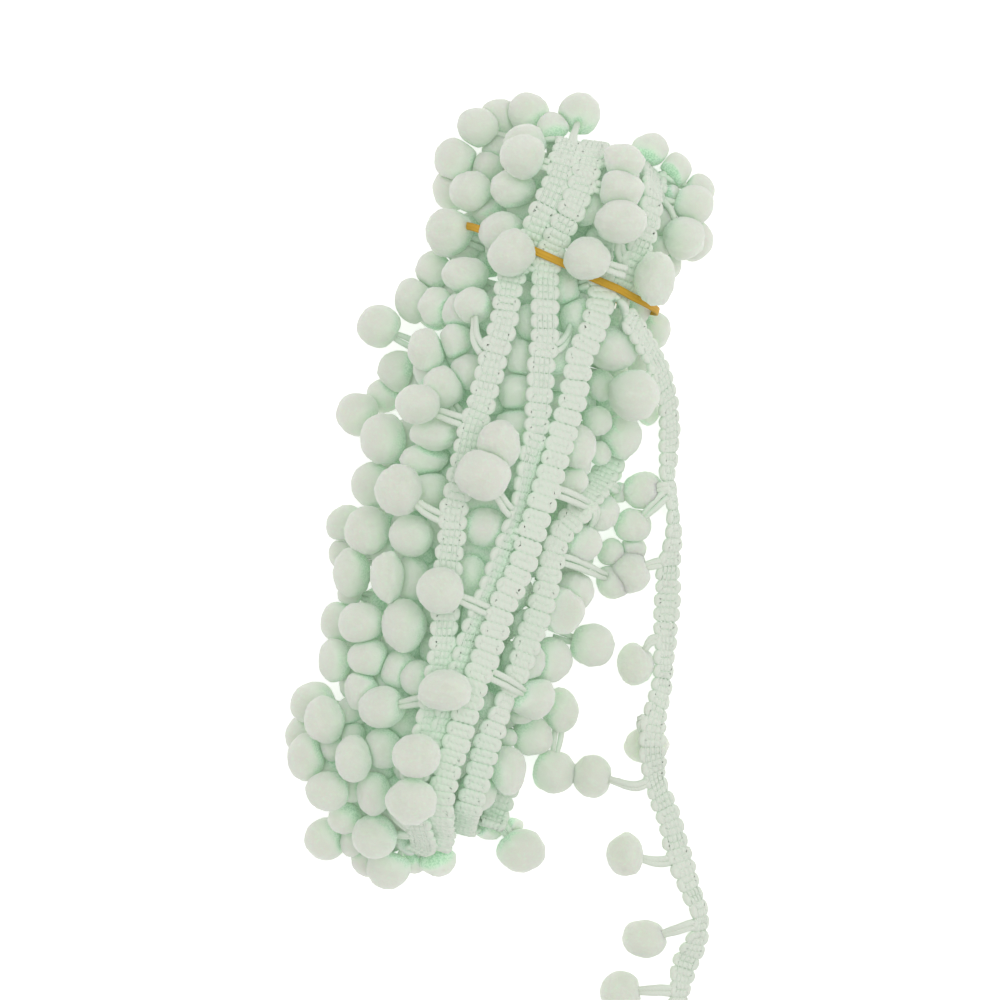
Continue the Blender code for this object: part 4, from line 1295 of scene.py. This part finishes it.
def elastic_material():
    """Flat woven elastic: fine lengthwise cords side by side, an even mustard, browner between them."""
    finish = Finish("mustard_elastic", MUSTARD, roughness=0.6, specular=0.25)
    cords = finish.plies(ELASTIC_CORDS, STRAIGHT)
    drift = finish.noise(scale=300, detail=3)
    threads = finish.noise(scale=5200, detail=3)
    colour = finish.mixed(finish.ramp(cords, -1.0, 0.2), MUSTARD_DEEP, MUSTARD)
    colour = finish.mixed(finish.ramp(drift, 0.3, 0.6), tuple(0.9 * c for c in MUSTARD), colour)
    finish.link(colour, "Base Color")
    grain = finish.bump(cords, distance=0.05 * MM, strength=0.5)
    finish.link(finish.bump(threads, distance=0.05 * MM, strength=0.4, under=grain), "Normal")
    return finish.made


elastic = joined("elastic", [band_mesh(band_path())], [elastic_material()])
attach(elastic, "root")
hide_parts("elastic_band")

# ---------------------------------------------------------------------------------------------
# The painted shade between the tufts. Every place of the yarn and pile carries how much open air its face
# still sees,
# and the finishes paint shade from it: pale where it is open, deeper green with a painted glow where it lies
# close.
TAPE_BLOB = 1.1 * MM
SHADE_REACH = 20 * MM
SHADE_CHUNK = 320  # places that are worked out together

loose_middles = np.array([(row.x, row.y, row.tall / 2) for row in TAIL_POMPOMS]) * MM
loose_radii = np.array([(row.wide + row.long + row.tall) / 6 for row in TAIL_POMPOMS]) * MM
blobs = np.vstack([every, loose_middles, tape_spots])
blob_radii = np.concatenate([every_radius, loose_radii, np.full(len(tape_spots), TAPE_BLOB)])


def open_shares(points, normals):
    """The share of open air that places with these normals see past the pompoms and braid near them."""
    middle = points.mean(0)
    near = np.linalg.norm(blobs - middle, axis=1) < SHADE_REACH + np.ptp(points, axis=0).max() / 2
    apart = blobs[near][None] - points[:, None]
    gap = np.linalg.norm(apart, axis=2)
    facing = np.clip((apart * normals[:, None]).sum(2) / gap, 0, 1)
    hidden = (facing * np.minimum(1, (blob_radii[near] / gap) ** 2)).sum(1)
    return np.exp(-hidden)


def mark_openness(mesh):
    total = len(mesh.vertices)
    points, normals = np.empty(total * 3), np.empty(total * 3)
    mesh.vertices.foreach_get("co", points)
    mesh.vertices.foreach_get("normal", normals)
    points, normals = points.reshape(-1, 3), normals.reshape(-1, 3)
    chunks = [slice(first, first + SHADE_CHUNK) for first in range(0, total, SHADE_CHUNK)]
    shares = np.concatenate([open_shares(points[chunk], normals[chunk]) for chunk in chunks])
    attribute = mesh.attributes.new("open_share", "FLOAT", "POINT")
    attribute.data.foreach_set("value", shares.astype(np.float32))


for obj in [*hank_pompoms, *loose_pompoms, stems, loose_tape, *braids]:
    mark_openness(obj.data)

# ---------------------------------------------------------------------------------------------
# The table and the light: a plain white light table, a broad soft light overhead and a pale room.
FLOOR_HALF = 1.5
TABLE_WHITE = (0.93, 0.93, 0.93, 1.0)
TABLE_GLOW = 0.45
WHITE = (1.0, 1.0, 1.0, 1.0)
ROOM_LIGHT = 0.6
LAMP_PLACE = Vector((0.1, 0.15, 1.0))
LAMP_ACROSS = 0.9
LAMP_POWER = 4.2

floor_bm = bmesh.new()
bmesh.ops.create_grid(floor_bm, x_segments=1, y_segments=1, size=FLOOR_HALF)
floor_mesh = bpy.data.meshes.new("table_top")
floor_bm.to_mesh(floor_mesh)
floor_bm.free()
floor_finish = bpy.data.materials.new("white_table")
floor_finish.use_nodes = True
floor_shader = floor_finish.node_tree.nodes["Principled BSDF"]
floor_shader.inputs["Base Color"].default_value = TABLE_WHITE
floor_shader.inputs["Roughness"].default_value = 0.9
floor_shader.inputs["Specular IOR Level"].default_value = 0.1
floor_shader.inputs["Emission Color"].default_value = WHITE
floor_shader.inputs["Emission Strength"].default_value = TABLE_GLOW
floor = placed("table_top", floor_mesh, floor_finish)

world = bpy.data.worlds.new("pale_room")
world.use_nodes = True
world.node_tree.nodes["Background"].inputs["Color"].default_value = WHITE
world.node_tree.nodes["Background"].inputs["Strength"].default_value = ROOM_LIGHT
bpy.context.scene.world = world

light = bpy.data.lights.new("overhead_box", "AREA")
light.shape = "SQUARE"
light.size = LAMP_ACROSS
light.energy = LAMP_POWER
lamp = bpy.data.objects.new("overhead_box", light)
bpy.context.scene.collection.objects.link(lamp)
toward = LAMP_PLACE.to_track_quat("Z", "Y").to_matrix().to_4x4()
lamp.matrix_world = Matrix.Translation(LAMP_PLACE) @ toward

bpy.context.scene.view_settings.view_transform = "Standard"
bpy.context.scene.view_settings.look = "None"
